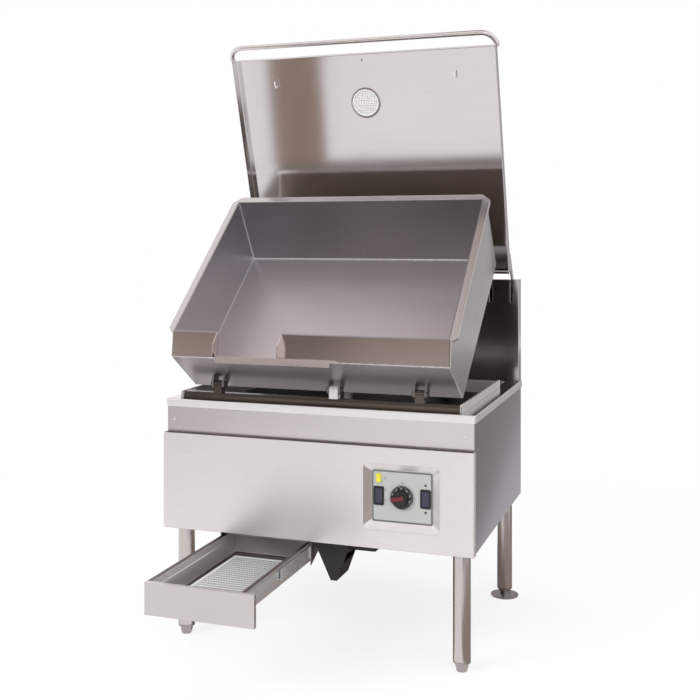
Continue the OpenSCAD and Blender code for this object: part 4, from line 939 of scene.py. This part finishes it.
# PAN
# A welded stainless pan with a thick floor, satin inside, with flat end plates and
# a folded rim. A pouring lip is let into the front wall, and a cover under the
# floor closes in the heating elements.
pan_angle = -joints["pan_tilt"]["range_deg"][0]
pin_in_pan = Vector((0, -0.032, 0.044))
pan_place = (Matrix.Translation(pivot("pan_tilt")) @ Matrix.Rotation(math.radians(pan_angle), 4, "X")
             @ Matrix.Translation(-pin_in_pan))
pan_up = pan_place.to_3x3() @ Vector((0, 0, 1))
floor_top = 16.5


def in_pan(x, y, z):
    """A point given in millimetres in the level pan's own frame"""
    return pan_place @ Vector((x / 1000, y / 1000, z / 1000))


def pan_steel(name, colour, rough, grain=(9, 700, 700), **more):
    """Brushed steel whose grain tilts with the pan"""
    return brushed(name, colour, rough, grain, lean=pan_angle, **more)


def is_floor(p):
    """The top of the pan's floor"""
    return p.normal.dot(pan_up) > 0.98 and abs((pan_place.inverted() @ p.center).z - floor_top / 1000) < 0.002


def is_front(p):
    """The outside of the pan's front wall and band"""
    return p.normal.y < -0.3 and p.normal.z < 0.3 and (pan_place.inverted() @ p.center).y < 0.02


# Painted light and shade inside the pan: the walls are darker and bluer, the top of the floor lighter and
# warmer, and the inside of the left wall lighter and bluer.
wall_painted_shade = pan_steel("pan_wall_steel", (0.41, 0.39, 0.415), 0.36)
floor_painted_light = pan_steel("pan_floor_steel", (0.66, 0.62, 0.62), 0.34)
outer_steel = pan_steel("pan_outer_steel", (0.60, 0.57, 0.565), 0.34, (700, 700, 12), fleck=0.6)
# Painted shade: the cover under the pan and the pan's faces that look back are dark brown, so the lid mirrors
# them dark.
casing_steel = pan_steel("casing_steel", (0.26, 0.22, 0.19), 0.34)
left_wall_painted_light = pan_steel("pan_cheek_steel", (0.72, 0.70, 0.735), 0.36)
band_steel = pan_steel("pan_band_steel", (0.64, 0.585, 0.565), 0.2, depth=0.2, cloud=0.02, skew=0.2)
shell = folded("pan_shell", "pan", wall_painted_shade, 0.0024, 3)
finish_faces(shell, floor_painted_light, is_floor)
finish_faces(shell, outer_steel, lambda p: is_front(p) and p.normal.y >= -0.8)
finish_faces(shell, casing_steel, lambda p: p.normal.y > 0.7)
# The inside of the left wall takes the lighter, bluer painted light.
finish_faces(shell, left_wall_painted_light, lambda p: p.normal.x > 0.9 and p.center.x < -0.39 and not is_front(p))
finish_faces(shell, band_steel, lambda p: is_front(p) and p.normal.y < -0.8)
# The cover takes that dark painted shade.
folded("pan_casing", "pan", casing_steel, 0.0009)
rim_steel = pan_steel("pan_rim_steel", (0.76, 0.735, 0.73), 0.18, depth=0.1, cloud=0.02, fleck=0.1)
folded("pan_rim", "pan", rim_steel, 0.0012, 3)
end_steel = pan_steel("pan_end_steel", (0.72, 0.695, 0.70), 0.22, (700, 9, 700), depth=0.15, fleck=0.15)
for node in ("pan_end_left", "pan_end_right"):
    folded(node, "pan", end_steel, 0.0014, 3)
lip_steel = pan_steel("lip_steel", (0.74, 0.67, 0.64), 0.24)
folded("pour_lip", "pan", lip_steel, 0.0012, 3)
# Painted shade: the hinge ears are dark grey for the shadow under the pan's lower face.
ear_steel = pan_steel("ear_steel", (0.30, 0.275, 0.275), 0.45, (60, 60, 60))
folded("pan_hinge_ears", "pan", ear_steel)
# The clevis and the pivot pins take the beam's near-black painted shade.
for node in ("pan_clevis", "pivot_pins"):
    folded(node, "pan", beam_steel)

sheath = brushed("sheath_steel", (0.22, 0.16, 0.13), 0.4, (60, 60, 60))
run_x, run_z, bend_r, element_r = 310, 2, 30, 0.0045
hairpins = []
for i in range(3):
    near = 170 + 4 * bend_r * i
    arc = [math.radians(a) for a in range(15, 180, 15)]
    path = [(-run_x, near), (run_x, near)]
    path += [(run_x + bend_r * math.sin(a), near + bend_r - bend_r * math.cos(a)) for a in arc]
    path += [(run_x, near + 2 * bend_r), (-run_x, near + 2 * bend_r)]
    hairpins.append(rod("hairpin", [in_pan(x, y, run_z) for x, y in path], element_r, sheath, 12, 0.006))
fit(join("heating_elements_piece", hairpins), "pan", node="heating_elements")


# WELD SEAMS
# Bright rippled beads in the pan's inner corners and along its nose line, where
# the walls, the floor and the band were welded; brushed over by hand.
seam_steel = brushed("seam_steel", (0.93, 0.92, 0.95), 0.3, (300, 300, 300))
side_x, outside_x = 397.2, 402
seam_z, nose_y, nose_z = 17.2, -45.6, 169.6
back_bead, thin_bead = 0.0023, 0.0017
runs = [[(-397, 543.4, seam_z), (397, 543.4, seam_z)]]
for x in (-side_x, side_x):
    runs.append([(x, 0, seam_z), (x, 542, seam_z)])
    runs.append([(x, 544.6, 20), (x, 574.6, 224)])
    runs.append([(x, -2, 20), (x, -42.5, 168)])
runs.append([(-397, -0.6, seam_z), (397, -0.6, seam_z)])
runs.append([(-outside_x, nose_y, nose_z), (outside_x, nose_y, nose_z)])
runs.append([(outside_x, 0.4, 1), (outside_x, -45.4, nose_z)])
seams = []
for i, run in enumerate(runs):
    bead = back_bead if i == 0 else thin_bead
    seams.append(rod("seam", [in_pan(*point) for point in run], bead, seam_steel, 6, 0.002, 0.45, 7.0 + i))
fit(join("pan_seams", seams), "pan")


# VOLUME SCALE
# Fine etched ticks and plain numbers in the middle of the pan's back wall,
# read while the pan is level.
etched = brushed("etched_scale", (0.36, 0.34, 0.35), 0.45, (200, 200, 200))
back_lean = math.atan2(32, 212.5)
on_back = (pan_place @ Matrix.Translation((-0.004, 0.544, floor_top / 1000))
           @ Matrix.Rotation(-back_lean, 4, "X") @ out_of_front)
tick_step = 0.018
scale_ticks = grown(block_mesh("scale_ticks", (-22, -0.7, -0.02), (22, 0.7, 0.1)), row_of,
                    on_back @ Matrix.Translation((0, 0.045, 0)), Count=9, Step=(0, tick_step, 0),
                    Surface=etched)
scale_marks = [scale_ticks]
for i, text in enumerate(("20", "40", "60", "80")):
    beside = Matrix.Translation((-0.037, 0.063 + 2 * tick_step * i, 0.00006))
    scale_marks.append(number(text, 12, on_back @ beside, etched))
stroke = block_mesh("stroke", (-0.7, 0, -0.02), (0.7, 38, 0.1))
stroke.data.transform(on_back @ Matrix.Translation((0.008, 0.003, 0)))
dress(stroke, etched)
fit(join("volume_scale", scale_marks + [stroke]), "pan")


# LID
# One stainless sheet with folded skirts, its grain along the width, held open by
# two pairs of arms. Two hooks for the strainer are welded to its inner face, which
# has a small drain hole near the edge, drawn as a black disc of painted shade,
# and a bent tube is the handle.
lid_angle, pin_in_lid = 108.5, Vector((0, -0.072, -0.034))
lid_place = (Matrix.Translation(pivot("lid_hinge")) @ Matrix.Rotation(math.radians(lid_angle), 4, "X")
             @ Matrix.Translation(-pin_in_lid))


def on_lid(along, above=0):
    """A place in the middle of the lid, in millimetres from its hinge edge and its inner face"""
    return lid_place @ Matrix.Translation((0, along / 1000, above / 1000))


lid_x0, lid_x1 = span("lid_panel")[:2]
lid_length, lid_fold, lid_face, lid_corner = 730, 4, -1.5, 6
rear_skirt, lid_skirt = 22, 34
outline = ring(lid_x0, lid_x1, 0, lid_length, lid_corner, 5)
lid_rings = [[(x / 1000, s / 1000, (rear_skirt if s < 1 else lid_skirt) / 1000) for x, s in outline]]
for inwards, up in turned_in(lid_fold):
    outline = ring(lid_x0 + inwards, lid_x1 - inwards, inwards, lid_length - inwards,
                   max(lid_corner - inwards, 1), 5)
    lid_rings.append(raised(outline, lid_face + lid_fold - up))
lid_steel = brushed("lid_steel", (0.76, 0.74, 0.745), 0.10, (9, 900, 900), depth=0.1, cloud=0.02, fleck=0.2,
                    skew=0.3)
lid = thicken(loft("lid_panel_piece", lid_rings, ends=(-1,), place=lid_place), 0.0013, flip=True)
fit(lid, "lid", lid_steel, "lid_panel")
folded("lid_arms", "lid", end_steel, 0.0006)
vent_metal = brushed("vent_metal", (0.95, 0.94, 0.96), 0.5, (200, 200, 200), depth=0.1, metal=0.1)
folded("lid_hooks", "lid", vent_metal)
# Painted shade: the drain hole is a thin black disc on the inner face, not a hole.
drain = lathe("lid_drain_hole", [(0, 0.02), (2.6, 0.02), (2.6, 0.25), (0, 0.25)], 16, on_lid(706))
fit(drain, "lid", dark_print)

tube_steel = brushed("handle_steel", (0.84, 0.82, 0.81), 0.22, (9, 300, 300))
handle_place = on_lid(lid_length, 17) @ Matrix.Rotation(math.radians(29), 4, "X")
tube_x, tube_bend, tube_r = 435, 46, 0.00799
bend = [(tube_x, 0.0)]
for step in range(0, 91, 6):
    a = math.radians(step)
    bend.append((tube_x - tube_bend + tube_bend * math.cos(a), 3 + tube_bend * math.sin(a)))
tube_path = raised(bend + [(-x, y) for x, y in bend[::-1]], 0)
handle = rod("lid_handle_piece", tube_path, tube_r, tube_steel, 24, 0.004, place=handle_place)
fit(handle, "lid", node="lid_handle")


# STEAM VENT
# A round white-metal vent clamped into the lid: a clamping ring, a rounded rim and
# a perforated shield inside, and a cowl on the lid's outer face.
vent_edge = brushed("vent_edge", (0.50, 0.46, 0.45), 0.25, (200, 200, 200), depth=0.1)
vent_place = on_lid(570)
clamp_profile = [(42, 0.2), (49, 0.2), (49, 1.4), (48, 2.4), (46.6, 2.6), (45.4, 2.0), (45, 0.8), (42, 0.8),
                 (42, 0.2)]
rim_profile = [(37, 0.2), (43.6, 0.2), (43.6, 2.0), (42.6, 3.0), (40, 3.0), (37, 2.2), (37, 0.2)]
cowl_profile = [(0, -3), (39, -3), (39, -0.2), (40.5, -0.2), (40.5, -4), (40, -4.5), (0, -4.5)]
clamp = lathe("clamp", clamp_profile, 64, vent_place)
dress(clamp, vent_edge)
vent_rim = lathe("vent_rim", rim_profile, 64, vent_place)
dress(vent_rim, vent_metal)
vent_pitch = 5.5
shield = grown(tile(vent_pitch, 2.6, 0.8), perforated_field, vent_place @ Matrix.Translation((0, 0, 0.0022)),
               Columns=16, Rows=16, Pitch=vent_pitch / 1000, Row_Pitch=vent_pitch / 1000, Reach=0.0385,
               Surface=vent_metal)
cowl = lathe("cowl", cowl_profile, 48, vent_place)
dress(cowl, vent_metal)
fit(join("lid_vent_piece", [clamp, vent_rim, shield, cowl]), "lid", node="lid_vent")
